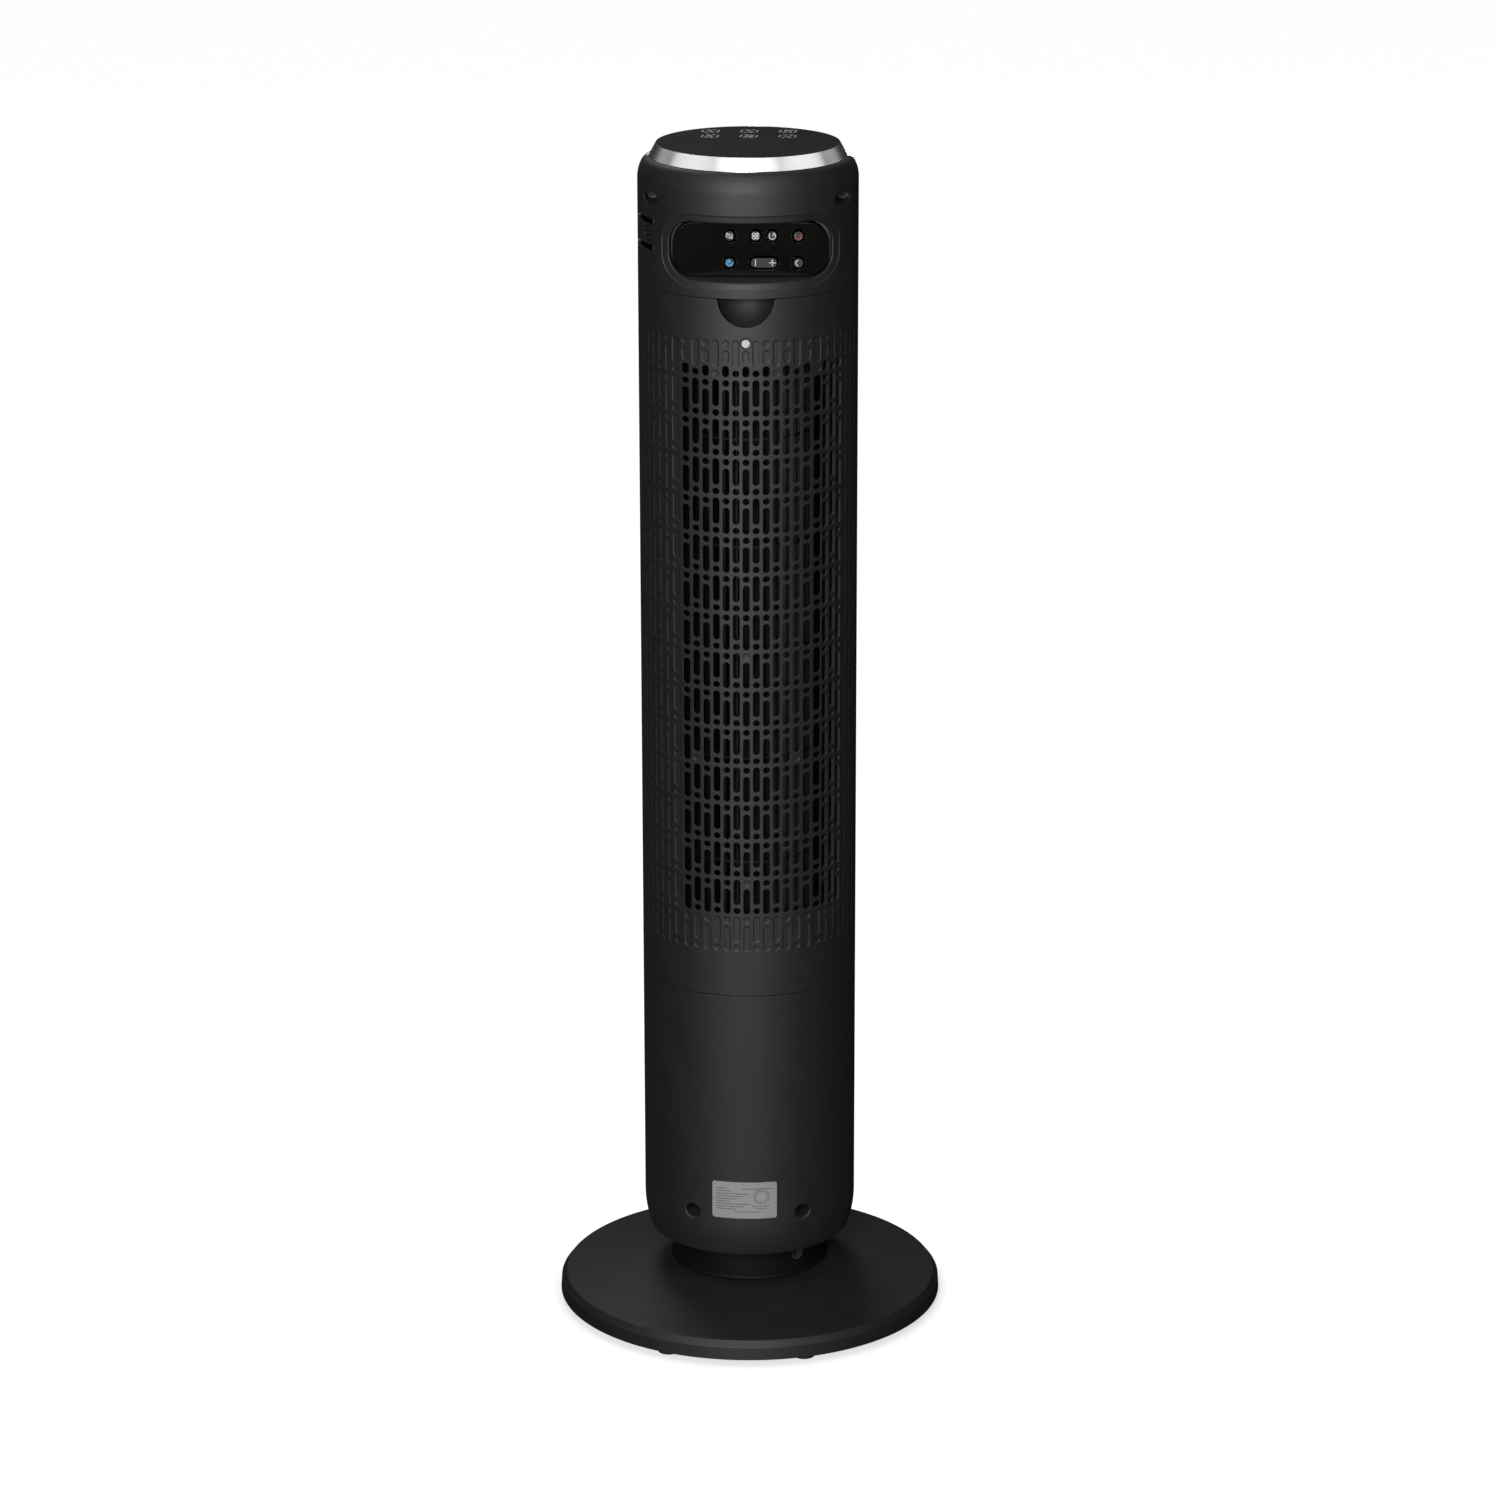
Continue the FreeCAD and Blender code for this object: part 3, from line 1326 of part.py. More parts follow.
def remote_inside():
    places = ("niche_centre + 10", "remote_middle")
    board = block("77", "1.4", "32", places[0], "-(remote_back + 3.5)", f"{places[1]} - 16")
    named(board, "remote_board")
    cell = cylinder("10", "2.5", "niche_centre - 42", "-(remote_back + 2)", "remote_middle", "rear")
    named(cell, "coin_cell")
    body = new_body("battery_door")
    sketch = new_sketch(body, "XZ", "remote_back + 0.1")
    rounded(sketch, "niche_centre - 38", "remote_middle", "27.6", "23.6", "2.8")
    pad(body, sketch, "case_wall - 0.2")
    end = "niche_centre + remote_width / 2 - 8.2"
    lens = cylinder("2.3", "8", end, "-(remote_back + 4.6)", "remote_middle", "right")
    named(lens, "remote_led")


# ---------------------------------------------------------------- build


def build():
    base_cover()
    base_plate()
    base_fittings()
    neck_collar()
    cord_gland()
    pivot_post()
    neck_fittings()
    oscillation_drive()
    tower_floor()
    rear_housing()
    front_housing()
    outlet_grille()
    display_parts()
    top_parts()
    small_tower_parts()
    electronics()
    bulkheads()
    scroll_wall()
    tongue()
    impeller()
    fan_motor()
    motor_inside()
    rear_cover()
    cover_screw()
    remote_case()
    remote_face()
    remote_keys()
    remote_inside()
    doc.recompute()


def check():
    faults = []
    for item in doc.Objects:
        if "Invalid" in item.State or "Error" in item.State:
            faults.append(f"{item.Label} failed: {item.getStatusString()}")
    for item in PARTS:
        if item.Shape.isNull() or not item.Shape.isValid():
            faults.append(f"{item.Label} has no sound shape")
    if faults:
        raise SystemExit("\n".join(faults))


def export():
    os.makedirs("parts", exist_ok=True)
    for item in PARTS:
        item.Shape.exportStep(os.path.join("parts", item.Label + ".step"))
    print(len(PARTS), "parts written")


build()
check()
export()
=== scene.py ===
import math

import bpy
from mathutils import Euler, Matrix, Vector
from mathutils.geometry import delaunay_2d_cdt

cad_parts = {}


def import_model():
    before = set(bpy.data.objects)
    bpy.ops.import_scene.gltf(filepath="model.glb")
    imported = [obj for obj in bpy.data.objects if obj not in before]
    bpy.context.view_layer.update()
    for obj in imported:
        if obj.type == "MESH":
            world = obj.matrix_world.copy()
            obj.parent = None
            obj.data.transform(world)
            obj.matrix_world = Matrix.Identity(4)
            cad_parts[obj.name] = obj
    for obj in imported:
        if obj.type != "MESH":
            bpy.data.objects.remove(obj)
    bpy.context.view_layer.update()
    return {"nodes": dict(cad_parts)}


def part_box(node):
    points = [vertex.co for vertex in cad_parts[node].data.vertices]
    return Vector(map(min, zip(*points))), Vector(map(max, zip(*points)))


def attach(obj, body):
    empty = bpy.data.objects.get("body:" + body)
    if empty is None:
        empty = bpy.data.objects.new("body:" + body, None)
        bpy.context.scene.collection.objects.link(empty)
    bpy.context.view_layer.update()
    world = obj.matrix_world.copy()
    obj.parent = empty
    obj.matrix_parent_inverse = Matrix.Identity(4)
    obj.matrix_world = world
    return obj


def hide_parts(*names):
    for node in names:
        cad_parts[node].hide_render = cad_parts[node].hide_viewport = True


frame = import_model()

MM = 0.001
FACING = Vector((0, -1, 0))


def corners(node):
    """The lowest and highest corner of a CAD node, in millimetres."""
    low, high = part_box(node)
    return low / MM, high / MM


# ---------------------------------------------------------------- driving dimensions, in millimetres

HOUSING = corners("rear_housing")
COVER = corners("rear_cover")
OUTLET = corners("outlet_grille")
CASE = corners("remote_case")
FACE = corners("remote_face")
RING = corners("chrome_ring")
PANEL = corners("touch_panel")
BASE = corners("base_cover")
TOWER = HOUSING[1].x
FOOT = HOUSING[0].z
CROWN = HOUSING[1].z
WALL = 2.5
SEAM_GAP = 0.4
SKIRT_TOP = FOOT + 28.5
SHOULDER_LOW = CROWN - 15.5
COVER_LOW = COVER[0].z
COVER_TOP = COVER[1].z
COVER_HALF = math.radians(81.6)
COVER_THICK = WALL - SEAM_GAP
NOTCH = 21.3
SCREW_HEIGHT = corners("cover_screw")[0].z + 3
REMOTE_X = (CASE[0].x + CASE[1].x) / 2
REMOTE_Z = (CASE[0].z + CASE[1].z) / 2
NICHE_Z = REMOTE_Z + 0.9
NICHE_SIZE = (119, 43, 17)
NICHE_FLOOR = 48.6
SCOOP = 24.2
SCOOP_TOP = COVER_TOP + 0.3
REMOTE_CORNER = 16
REMOTE_FRONT = -FACE[0].y
LINER_THICK = 2.4
GRILLE_THICK = 2.3
KEY = 5.05
INK_HIGH = 0.03
INK_LOW = -0.08

# how finely shapes are divided
EDGE_REACH = 4.0
GUIDE_GAP = 15.0
LATHE_STEPS = 256
ARC_STEPS = 32

# holes of the rear cover
HOLE = 2.4
STEP = 7.5
PITCH = 29.8
FIRST_DOT = COVER_TOP - 63.0
SLOT_TALL = 20.0
ROWS = 14
OPEN_COLUMNS = range(-6, 11)
STRAIGHT_COLUMNS = 7
CLOSED_TOP_DOTS = (-3, 3, 7)


# ---------------------------------------------------------------- shapes


class Shape:
    """Points with their own normals, and faces between them."""

    def __init__(self):
        self.points = []
        self.normals = []
        self.faces = []

    def add(self, point, normal):
        self.points.append(Vector(point))
        self.normals.append(Vector(normal).normalized())
        return len(self.points) - 1

    def strip(self, first, second, close=True):
        """Quads between two rows of points."""
        count = len(first)
        for i in range(count if close else count - 1):
            j = (i + 1) % count
            self.faces.append((second[i], second[j], first[j], first[i]))

    def half_turned(self):
        """Moves the shape to the other side of the tower's axis."""
        for group in (self.points, self.normals):
            for item in group:
                item.x, item.y = -item.x, -item.y

    def joined(self, other):
        """Takes in another shape."""
        start = len(self.points)
        self.points += other.points
        self.normals += other.normals
        self.faces += [tuple(start + i for i in face) for face in other.faces]


def piece(name, shape, material, body, replaced=()):
    mesh = bpy.data.meshes.new(name)
    mesh.from_pydata([point * MM for point in shape.points], [], shape.faces)
    mesh.polygons.foreach_set("use_smooth", [True] * len(mesh.polygons))
    mesh.normals_split_custom_set_from_vertices(shape.normals)
    mesh.materials.append(material)
    item = bpy.data.objects.new(name, mesh)
    bpy.context.scene.collection.objects.link(item)
    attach(item, body)
    if replaced:
        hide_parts(*replaced)
    return item


def rounded_loop(x, z, wide, tall, corner, steps=6):
    """A clockwise rounded rectangle: (x, z, out x, out z) with each point's direction outward."""
    loop = []
    for quarter, (side, rise) in enumerate(((1, 1), (-1, 1), (-1, -1), (1, -1))):
        for step in range(steps + 1):
            angle = (quarter + step / steps) * math.pi / 2
            out = (math.cos(angle), math.sin(angle))
            at_x = x + side * (wide / 2 - corner) + corner * out[0]
            at_z = z + rise * (tall / 2 - corner) + corner * out[1]
            if loop and math.hypot(loop[-1][0] - at_x, loop[-1][1] - at_z) < 1e-3:
                continue
            parts = math.ceil(abs(at_x - loop[-1][0]) / EDGE_REACH) if loop else 1
            for k in range(1, parts):
                loop.append((loop[-k][0] + (at_x - loop[-k][0]) * k / parts, at_z, *out))
            loop.append((at_x, at_z, *out))
    if math.hypot(loop[-1][0] - loop[0][0], loop[-1][1] - loop[0][1]) < 1e-3:
        loop.pop()
    return loop[::-1]


def framed(points):
    """A counterclockwise outline with each point's direction into the sheet."""
    made = []
    count = len(points)
    for i, (x, z) in enumerate(points):
        before = Vector((x - points[i - 1][0], z - points[i - 1][1])).normalized()
        after = Vector((points[(i + 1) % count][0] - x, points[(i + 1) % count][1] - z)).normalized()
        left = Vector((-before.y - after.y, before.x + after.x))
        left *= 1 / max(0.3, 1 + before.dot(after))
        made.append((x, z, left.x, left.y))
    return made


def soft_edge(size, depth):
    """Rings that round an edge over and run down a wall: offset, depth, tilt in degrees."""
    return [(size, 0, 0), (size * 0.3, size * 0.3, 45), (0, size, 90), (0, depth, 90)]


# ---------------------------------------------------------------- the tower's wall


class Rounding:
    """A quarter round from the upright wall to a level face, in a large and then a small arc."""

    def __init__(self, wide, tall, small):
        self.wide, self.tall, self.small = wide, tall, small
        self.large = (wide**2 + tall**2 - 2 * tall * small) / (2 * (wide - small))
        self.turn = math.atan2(tall - small, self.large - wide)
        self.first = self.large * self.turn
        self.length = self.first + small * (math.pi / 2 - self.turn)

    def at(self, length):
        """How far in and how far along the rounding has come, and its slope."""
        if length <= self.first:
            angle = length / self.large
            return self.large * (1 - math.cos(angle)), self.large * math.sin(angle), angle
        angle = min(self.turn + (length - self.first) / self.small, math.pi / 2)
        over = max(0.0, length - self.length)
        inset = self.wide - self.small * math.cos(angle) + over
        return inset, self.tall - self.small + self.small * math.sin(angle), angle


SKIRT = Rounding(8, SKIRT_TOP - FOOT, 4)
SHOULDER = Rounding(8.5, CROWN - SHOULDER_LOW, 6)


def wrap(across, along, depth):
    """A point and normal on the tower: across is measured round the wall, along up it."""
    inset, height, slope = 0.0, along, 0.0
    if along > SHOULDER_LOW:
        inset, rise, slope = SHOULDER.at(along - SHOULDER_LOW)
        height = SHOULDER_LOW + rise
    elif along < SKIRT_TOP:
        inset, rise, slope = SKIRT.at(SKIRT_TOP - along)
        height = SKIRT_TOP - rise
        slope = -slope
    turn = across / TOWER
    reach = TOWER - inset - depth * math.cos(slope)
    normal = Vector((math.cos(slope) * math.sin(turn), -math.cos(slope) * math.cos(turn), math.sin(slope)))
    point = Vector((reach * math.sin(turn), -reach * math.cos(turn), height - depth * math.sin(slope)))
    return point, normal


def drill(x, z, depth, level=None):
    """The same wall, entered straight from the rear. A level is a flat floor at that distance."""
    if level is not None:
        return Vector((x, -level, z)), FACING
    reach = TOWER - depth
    point = Vector((x, -math.sqrt(reach**2 - x**2), z))
    return point, Vector((point.x, point.y, 0)).normalized()


def unrolled(x, z):
    return TOWER * math.asin(x / TOWER), z


def plane(x, z, depth, level=None):
    """The flat face of the remote control."""
    return Vector((x, -REMOTE_FRONT + depth if level is None else -level, z)), FACING


class Cut:
    """One hole or recess in a sheet, as rings of (offset, depth, tilt, level)."""

    def __init__(self, loop, rings, place=wrap, flat=lambda x, z: (x, z), closed=False, shell=0.0):
        self.loop, self.rings, self.place, self.flat = loop, rings, place, flat
        self.closed, self.shell = closed, shell
        self.rim = [flat(x + dx * rings[0][0], z + dz * rings[0][0]) for x, z, dx, dz in loop]
        across = [spot[0] for spot in self.rim]
        along = [spot[1] for spot in self.rim]
        self.box = (min(across) - 0.8, max(across) + 0.8, min(along) - 0.8, max(along) + 0.8)

    def holds(self, across, along):
        """Whether a point is inside the hole's box."""
        left, right, low, high = self.box
        return left < across < right and low < along < high

    def rows(self, shape):
        made = []
        for offset, depth, tilt, *level in self.rings:
            row = []
            for x, z, dx, dz in self.loop:
                point, normal = self.place(x + dx * offset, z + dz * offset, depth, *level)
                upright = Vector((0, 0, 1))
                side = normal.cross(upright).normalized() * -1 if self.place is wrap else Vector((1, 0, 0))
                out = side * dx + upright * dz
                angle = math.radians(tilt)
                row.append(shape.add(point, normal * math.cos(angle) - out * math.sin(angle)))
            made.append(row)
        return made


def closed_rows(shape, rows):
    for first, second in zip(rows, rows[1:]):
        shape.strip(first, second)


def guide_rows(low, high, gap):
    """Heights of the inner points of a sheet, closer together on the tower's roundings."""
    heights = [low + 1.0]
    while heights[-1] < high - 1.0:
        curved = heights[-1] > SHOULDER_LOW - gap or heights[-1] < SKIRT_TOP
        heights.append(heights[-1] + (min(gap, 1.4) if curved else gap))
    return heights[1:-1]


def sheet(outline, cuts, thick, edge=0.4, ground=wrap, guides=(4.0, GUIDE_GAP)):
    """A thin moulded wall with soft edges, its holes and recesses, and its back."""
    shape = Shape()
    border = Cut(framed(outline), soft_edge(edge, thick), place=ground)
    loops = [border] + cuts
    flat, owner, edges = [], [], []
    for number, cut in enumerate(loops):
        start, count = len(flat), len(cut.rim)
        flat += cut.rim
        owner += [(number, i) for i in range(count)]
        edges += [(start + i, start + (i + 1) % count) for i in range(count)]
    left, right, low, high = border.box
    columns = int((right - left) / guides[0])
    for height in guide_rows(low, high, guides[1]):
        for i in range(1, columns):
            spot = (left + (right - left) * i / columns, height)
            if not any(cut.holds(*spot) for cut in cuts):
                flat.append(spot)
                owner.append((None, None))
    found = delaunay_2d_cdt([Vector(spot) for spot in flat], edges, [list(range(len(border.rim)))], 1, 1e-4)
    spots, triangles, sources = found[0], found[2], found[3]
    ring_rows = [cut.rows(shape) for cut in loops]
    front, back, home = [], [], []
    for spot, source in zip(spots, sources):
        number, i = owner[source[0]] if source else (None, None)
        point, normal = ground(spot.x, spot.y, 0)
        front.append(ring_rows[number][0][i] if number is not None else shape.add(point, normal))
        if number is not None and not loops[number].closed:
            back.append(ring_rows[number][-1][i])
        else:
            back.append(shape.add(ground(spot.x, spot.y, thick)[0], -normal))
        home.append(number)
    for a, b, c in triangles:
        inside = home[a] == home[b] == home[c] and home[a] not in (None, 0)
        if not inside:
            shape.faces.append((front[a], front[b], front[c]))
        if not inside or (loops[home[a]].closed and not loops[home[a]].shell):
            shape.faces.append((back[c], back[b], back[a]))
    rear_rows = {}
    for index, source in enumerate(sources):
        if source:
            rear_rows[owner[source[0]]] = back[index]
    for number, (cut, rows) in enumerate(zip(loops, ring_rows)):
        closed_rows(shape, rows)
        if cut.closed:
            shape.faces.append(tuple(reversed(rows[-1])))
        if cut.shell:
            pocket_back(shape, cut, [rear_rows[number, i] for i in range(len(cut.loop))])
    return shape


def pocket_back(shape, cut, start):
    """The hidden side of a deep pocket: its walls and floor, seen from inside the housing."""
    level = cut.rings[-1][3] - cut.shell
    outside, floor_row = [], []
    for x, z, dx, dz in cut.loop:
        spot = (x + dx * cut.shell, -level, z + dz * cut.shell)
        outside.append(shape.add(spot, (dx, 0, dz)))
        floor_row.append(shape.add(spot, (0, 1, 0)))
    shape.strip(outside, start)
    shape.faces.append(tuple(floor_row))


def block_outline(left, right, low, high, heights=()):
    """A counterclockwise rectangle, with points along its level edges and at the heights given."""
    count = max(1, round((right - left) / EDGE_REACH))
    lower = [(left + (right - left) * i / count, low) for i in range(count + 1)]
    upper = [(x, high) for x, _ in reversed(lower)]
    rising = [(right, z) for z in heights]
    falling = [(left, z) for z in reversed(heights)]
    return lower + rising + upper + falling


def soft_profile(corner_list, steps=4):
    """A closed counterclockwise outline with rounded corners, as (r, z, normal r, normal z)."""
    made = []
    count = len(corner_list)
    for i, (r, z, radius) in enumerate(corner_list):
        before = Vector((r - corner_list[i - 1][0], z - corner_list[i - 1][1])).normalized()
        following = corner_list[(i + 1) % count]
        after = Vector((following[0] - r, following[1] - z)).normalized()
        turn = math.atan2(before.x * after.y - before.y * after.x, before.dot(after))
        side = 1 if turn > 0 else -1
        start = Vector((r, z)) - before * radius * math.tan(abs(turn) / 2)
        centre = start + Vector((-before.y, before.x)) * radius * side
        for step in range(steps + 1):
            rotation = Matrix.Rotation(turn * step / steps, 2)
            heading = rotation @ before
            spot = centre + Vector((heading.y, -heading.x)) * radius * side
            made.append((spot.x, spot.y, heading.y, -heading.x))
    return made


def lathe(profile):
    """A closed outline turned once round the tower's axis."""
    shape = Shape()
    rows = []
    for r, z, nr, nz in profile:
        row = []
        for k in range(LATHE_STEPS):
            turn = 2 * math.pi * k / LATHE_STEPS
            c, s = math.cos(turn), math.sin(turn)
            row.append(shape.add((r * c, r * s, z), (nr * c, nr * s, nz)))
        rows.append(row)
    for i in range(len(rows)):
        following = rows[(i + 1) % len(rows)]
        for k in range(LATHE_STEPS):
            n = (k + 1) % LATHE_STEPS
            shape.faces.append((rows[i][k], rows[i][n], following[n], following[k]))
    return shape


def stack(loop, rings):
    """A solid whose outline shrinks or grows from ring to ring: (offset, level, tilt)."""
    shape = Shape()
    rows = []
    for offset, level, tilt in rings:
        row = []
        for x, z, dx, dz in loop:
            point, normal = plane(x + dx * offset, z + dz * offset, 0, level)
            angle = math.radians(tilt)
            row.append(shape.add(point, normal * math.cos(angle) + Vector((dx, 0, dz)) * math.sin(angle)))
        rows.append(row)
    for first, second in zip(rows, rows[1:]):
        shape.strip(second, first)
    shape.faces.append(tuple(rows[0]))
    shape.faces.append(tuple(reversed(rows[-1])))
    return shape


# ---------------------------------------------------------------- materials


def material_start(name, rough, metal=0.0):
    material = bpy.data.materials.new(name)
    material.use_nodes = True
    nodes, links = material.node_tree.nodes, material.node_tree.links
    shader = nodes["Principled BSDF"]
    shader.inputs["Metallic"].default_value = metal
    shader.inputs["Roughness"].default_value = rough
    return material, nodes, links, shader


def noise(nodes, links, place, scale, detail=3.0):
    item = nodes.new("ShaderNodeTexNoise")
    item.inputs["Scale"].default_value = scale
    item.inputs["Detail"].default_value = detail
    links.new(place, item.inputs["Vector"])
    return item.outputs["Fac"]


def spread(nodes, links, source, low, high):
    """Maps the middle of a noise to a range."""
    item = nodes.new("ShaderNodeMapRange")
    item.inputs["From Min"].default_value = 0.3
    item.inputs["From Max"].default_value = 0.7
    item.inputs["To Min"].default_value = low
    item.inputs["To Max"].default_value = high
    links.new(source, item.inputs["Value"])
    return item.outputs["Result"]


def finish(
    name, colour, rough, metal=0.0, change=0.06, grain=0.25, cell=1400.0, stretch=(1, 1, 1), gloss=0.5
):
    """A moulded, cast or drawn surface: soft changes of tone, uneven gloss and a fine grain."""
    material, nodes, links, shader = material_start(name, rough, metal)
    shader.inputs["Specular IOR Level"].default_value = gloss
    spot = nodes.new("ShaderNodeTexCoord").outputs["Object"]
    mapping = nodes.new("ShaderNodeMapping")
    mapping.inputs["Scale"].default_value = stretch
    links.new(spot, mapping.inputs["Vector"])
    place = mapping.outputs["Vector"]
    ramp = nodes.new("ShaderNodeValToRGB")
    for element, share in zip(ramp.color_ramp.elements, (1 - change, 1 + change)):
        element.color = (*[min(1, part * share) for part in colour], 1)
    ramp.color_ramp.elements[0].position = 0.3
    ramp.color_ramp.elements[1].position = 0.7
    links.new(noise(nodes, links, place, 14.0, 5.0), ramp.inputs["Fac"])
    links.new(ramp.outputs["Color"], shader.inputs["Base Color"])
    uneven = spread(nodes, links, noise(nodes, links, place, 55.0), rough * 0.95, min(1, rough * 1.05))
    links.new(uneven, shader.inputs["Roughness"])
    bump = nodes.new("ShaderNodeBump")
    bump.inputs["Strength"].default_value = grain
    bump.inputs["Distance"].default_value = 0.00015
    links.new(noise(nodes, links, place, cell, 2.0), bump.inputs["Height"])
    links.new(bump.outputs["Normal"], shader.inputs["Normal"])
    return material


BLACK = (0.0055, 0.0055, 0.0057)
LIBRARY = {
    "black_abs": finish("black_abs", BLACK, 0.62, gloss=0.6),
    # Painted shade: the finger scoop is the housing's black plastic, made darker and less glossy for the
    # shade inside the pocket.
    "bowl": finish("bowl", (0.004, 0.004, 0.0042), 0.6, gloss=0.32),
    "black_base": finish("black_base", (0.0048, 0.0048, 0.005), 0.6, gloss=0.6),
    "inner_plastic": finish("inner_plastic", (0.0022, 0.0022, 0.0024), 0.65, gloss=0.15),
    "grey_plastic": finish("grey_plastic", (0.005, 0.005, 0.0055), 0.6, gloss=0.25),
    "white_plastic": finish("white_plastic", (0.6, 0.6, 0.58), 0.45),
    "panel": finish("panel", (0.005, 0.005, 0.0054), 0.4, grain=0.05, gloss=0.22),
    "smoked_window": finish("smoked_window", (0.008, 0.008, 0.009), 0.12, grain=0.02),
    "ring_metal": finish("ring_metal", (0.78, 0.78, 0.79), 0.24, 1.0, 0.03, 0.05, 60.0, (1, 1, 14)),
    "remote_shell": finish("remote_shell", (0.004, 0.004, 0.0045), 0.45),
    "remote_plate": finish("remote_plate", (0.0015, 0.0015, 0.0012), 0.17, grain=0.02, gloss=0.12),
    "key_rubber": finish("key_rubber", (0.019, 0.019, 0.016), 0.6, gloss=0.3),
    "rubber": finish("rubber", (0.02, 0.02, 0.02), 0.75),
    "steel": finish("steel", (0.3, 0.3, 0.31), 0.4, 1.0, 0.08),
    # Painted shade: near-black steel for the housing screws, standing in for the shade at the bottom of
    # their deep wells.
    "dark_steel": finish("dark_steel", (0.01, 0.01, 0.0105), 0.6, change=0.12, gloss=0.15),
    "cast_weight": finish("cast_weight", (0.16, 0.15, 0.14), 0.6, 0.8, 0.2, 0.5, 400.0),
    "brass": finish("brass", (0.75, 0.55, 0.25), 0.35, 1.0, 0.1),
    "board": finish("board", (0.002, 0.009, 0.004), 0.5, cell=500.0, gloss=0.15),
    "component": finish("component", (0.09, 0.09, 0.1), 0.45, change=0.4),
    "label": finish("label", (0.25, 0.25, 0.25), 0.42, change=0.05),
    "lens": finish("lens", (0.05, 0.01, 0.02), 0.15, grain=0.02),
    "copper_core": finish("copper_core", (0.6, 0.28, 0.14), 0.4, 1.0, 0.25, 0.6, 300.0),
}
INK = {
    "white": finish("ink_white", (0.6, 0.6, 0.6), 0.5, change=0.04),
    "pale": finish("ink_pale", (0.85, 0.85, 0.85), 0.5, change=0.04),
    "dark": finish("ink_dark", (0.06, 0.06, 0.06), 0.5, change=0.04),
    "red": finish("ink_red", (0.3, 0.022, 0.015), 0.5, change=0.04),
    "blue": finish("ink_blue", (0.03, 0.3, 0.62), 0.5, change=0.04),
}

# Painted shade: the housing screws deep in their wells and the neck collar under the tower get darker
# materials than their own, for the shade that falls on them there.
SHADE_PAINTED_MATERIALS = {"housing_screws": "dark_steel", "neck_collar": "inner_plastic"}
for name, node in frame["nodes"].items():
    for place in node.material_slots:
        place.material = LIBRARY[SHADE_PAINTED_MATERIALS.get(name, place.material.name.split(".")[0])]


# ---------------------------------------------------------------- rear cover


def cover_holes():
    """Staggered columns of slots and dots, open in the middle and only sunk towards the sides."""
    cuts = []
    open_rings = soft_edge(0.42, COVER_THICK)
    sunk_rings = [(0.5, 0, 0), (0.1, 0.08, 25), (-0.1, 0.2, 38), (-0.35, 0.3, 25), (-0.8, 0.35, 0)]

    def hole(column, height, tall, is_open):
        near = abs(column) <= STRAIGHT_COLUMNS
        rings = open_rings if is_open else sunk_rings
        turn = math.copysign(math.radians(39.5 + 5.5 * (abs(column) - STRAIGHT_COLUMNS)), column)
        across = column * STEP if near else TOWER * turn
        loop = rounded_loop(across, height, 2 * HOLE, tall, HOLE)
        if near:
            cuts.append(Cut(loop, rings, drill, unrolled, closed=not is_open))
        else:
            cuts.append(Cut(loop, rings, closed=not is_open))

    for column in range(-13, 14):
        even = column % 2 == 0
        within = column in OPEN_COLUMNS
        dot, slot = (0, 0.5) if even else (0.75, 0.25)
        for row in range(-1, ROWS + 1):
            shown = 0 <= row < ROWS
            dot_at = FIRST_DOT - (row + dot) * PITCH
            slot_at = FIRST_DOT - (row + slot) * PITCH
            covered = (column == 0 and row in (7, 13)) or (abs(column) == 5 and row == 9)
            if row == -1 and not even:
                hole(column, dot_at, 2 * HOLE, within and column not in CLOSED_TOP_DOTS)
            elif row != -1 or column != 0:
                hole(column, dot_at, 2 * HOLE, within and shown and not covered)
            if row == -1 and even and within:
                hole(column, slot_at - 6.0, 8.0, True)
                hole(column, slot_at + 5.0, 9.4, False)
            else:
                hole(column, slot_at, SLOT_TALL, within and shown)
    return cuts


def cover_outline():
    """The cover's edge, with the half-round notch in its upper side."""
    reach = TOWER * COVER_HALF
    points = block_outline(-reach, reach, COVER_LOW, COVER_TOP)
    start = len(points) // 2
    lip = 1.6
    right = [spot for spot in points[start:] if spot[0] > NOTCH + lip + 1]
    left = [spot for spot in points[start:] if spot[0] < -NOTCH - lip - 1]
    notch = []
    for step in range(ARC_STEPS + 1):
        angle = -math.pi * step / ARC_STEPS
        notch.append((NOTCH * math.cos(angle), COVER_TOP + SEAM_GAP + NOTCH * math.sin(angle)))
    bend = [
        (NOTCH + lip, COVER_TOP),
        (NOTCH + lip * 0.4, COVER_TOP - lip * 0.25),
        (NOTCH - 0.05, COVER_TOP - lip),
    ]
    inner = [spot for spot in notch if spot[1] < COVER_TOP - lip - 0.5]
    mirrored = [(-x, z) for x, z in reversed(bend)]
    return points[:start] + right + bend + inner + mirrored + left


def screw_cut():
    loop = rounded_loop(0, SCREW_HEIGHT, 8.4, 8.4, 4.2, steps=8)
    rings = [(0.3, 0, 0), (0.1, 0.1, 45), (0, 0.3, 90), (0, 0.85, 90), (-0.1, 1.0, 30), (-1.0, 1.0, 0)]
    return Cut(loop, rings, drill, unrolled, closed=True)


cover = sheet(cover_outline(), cover_holes() + [screw_cut()], COVER_THICK)
piece("cover_skin", cover, LIBRARY["black_abs"], "cover", ["rear_cover"])


# ---------------------------------------------------------------- rear and front housing


def well(x, z):
    """A deep round well that leads to a housing screw."""
    loop = rounded_loop(x, z, 10.4, 10.4, 5.2, steps=8)
    rings = [(1.5, 0, 0), (1.1, 0.1, 25), (0.4, 0.5, 40), (0, 1.2, 75), (0, 0, 90, 13.4), (-0.4, 0, 0, 13.0)]
    return Cut(loop, rings, drill, unrolled, closed=True, shell=2.0)


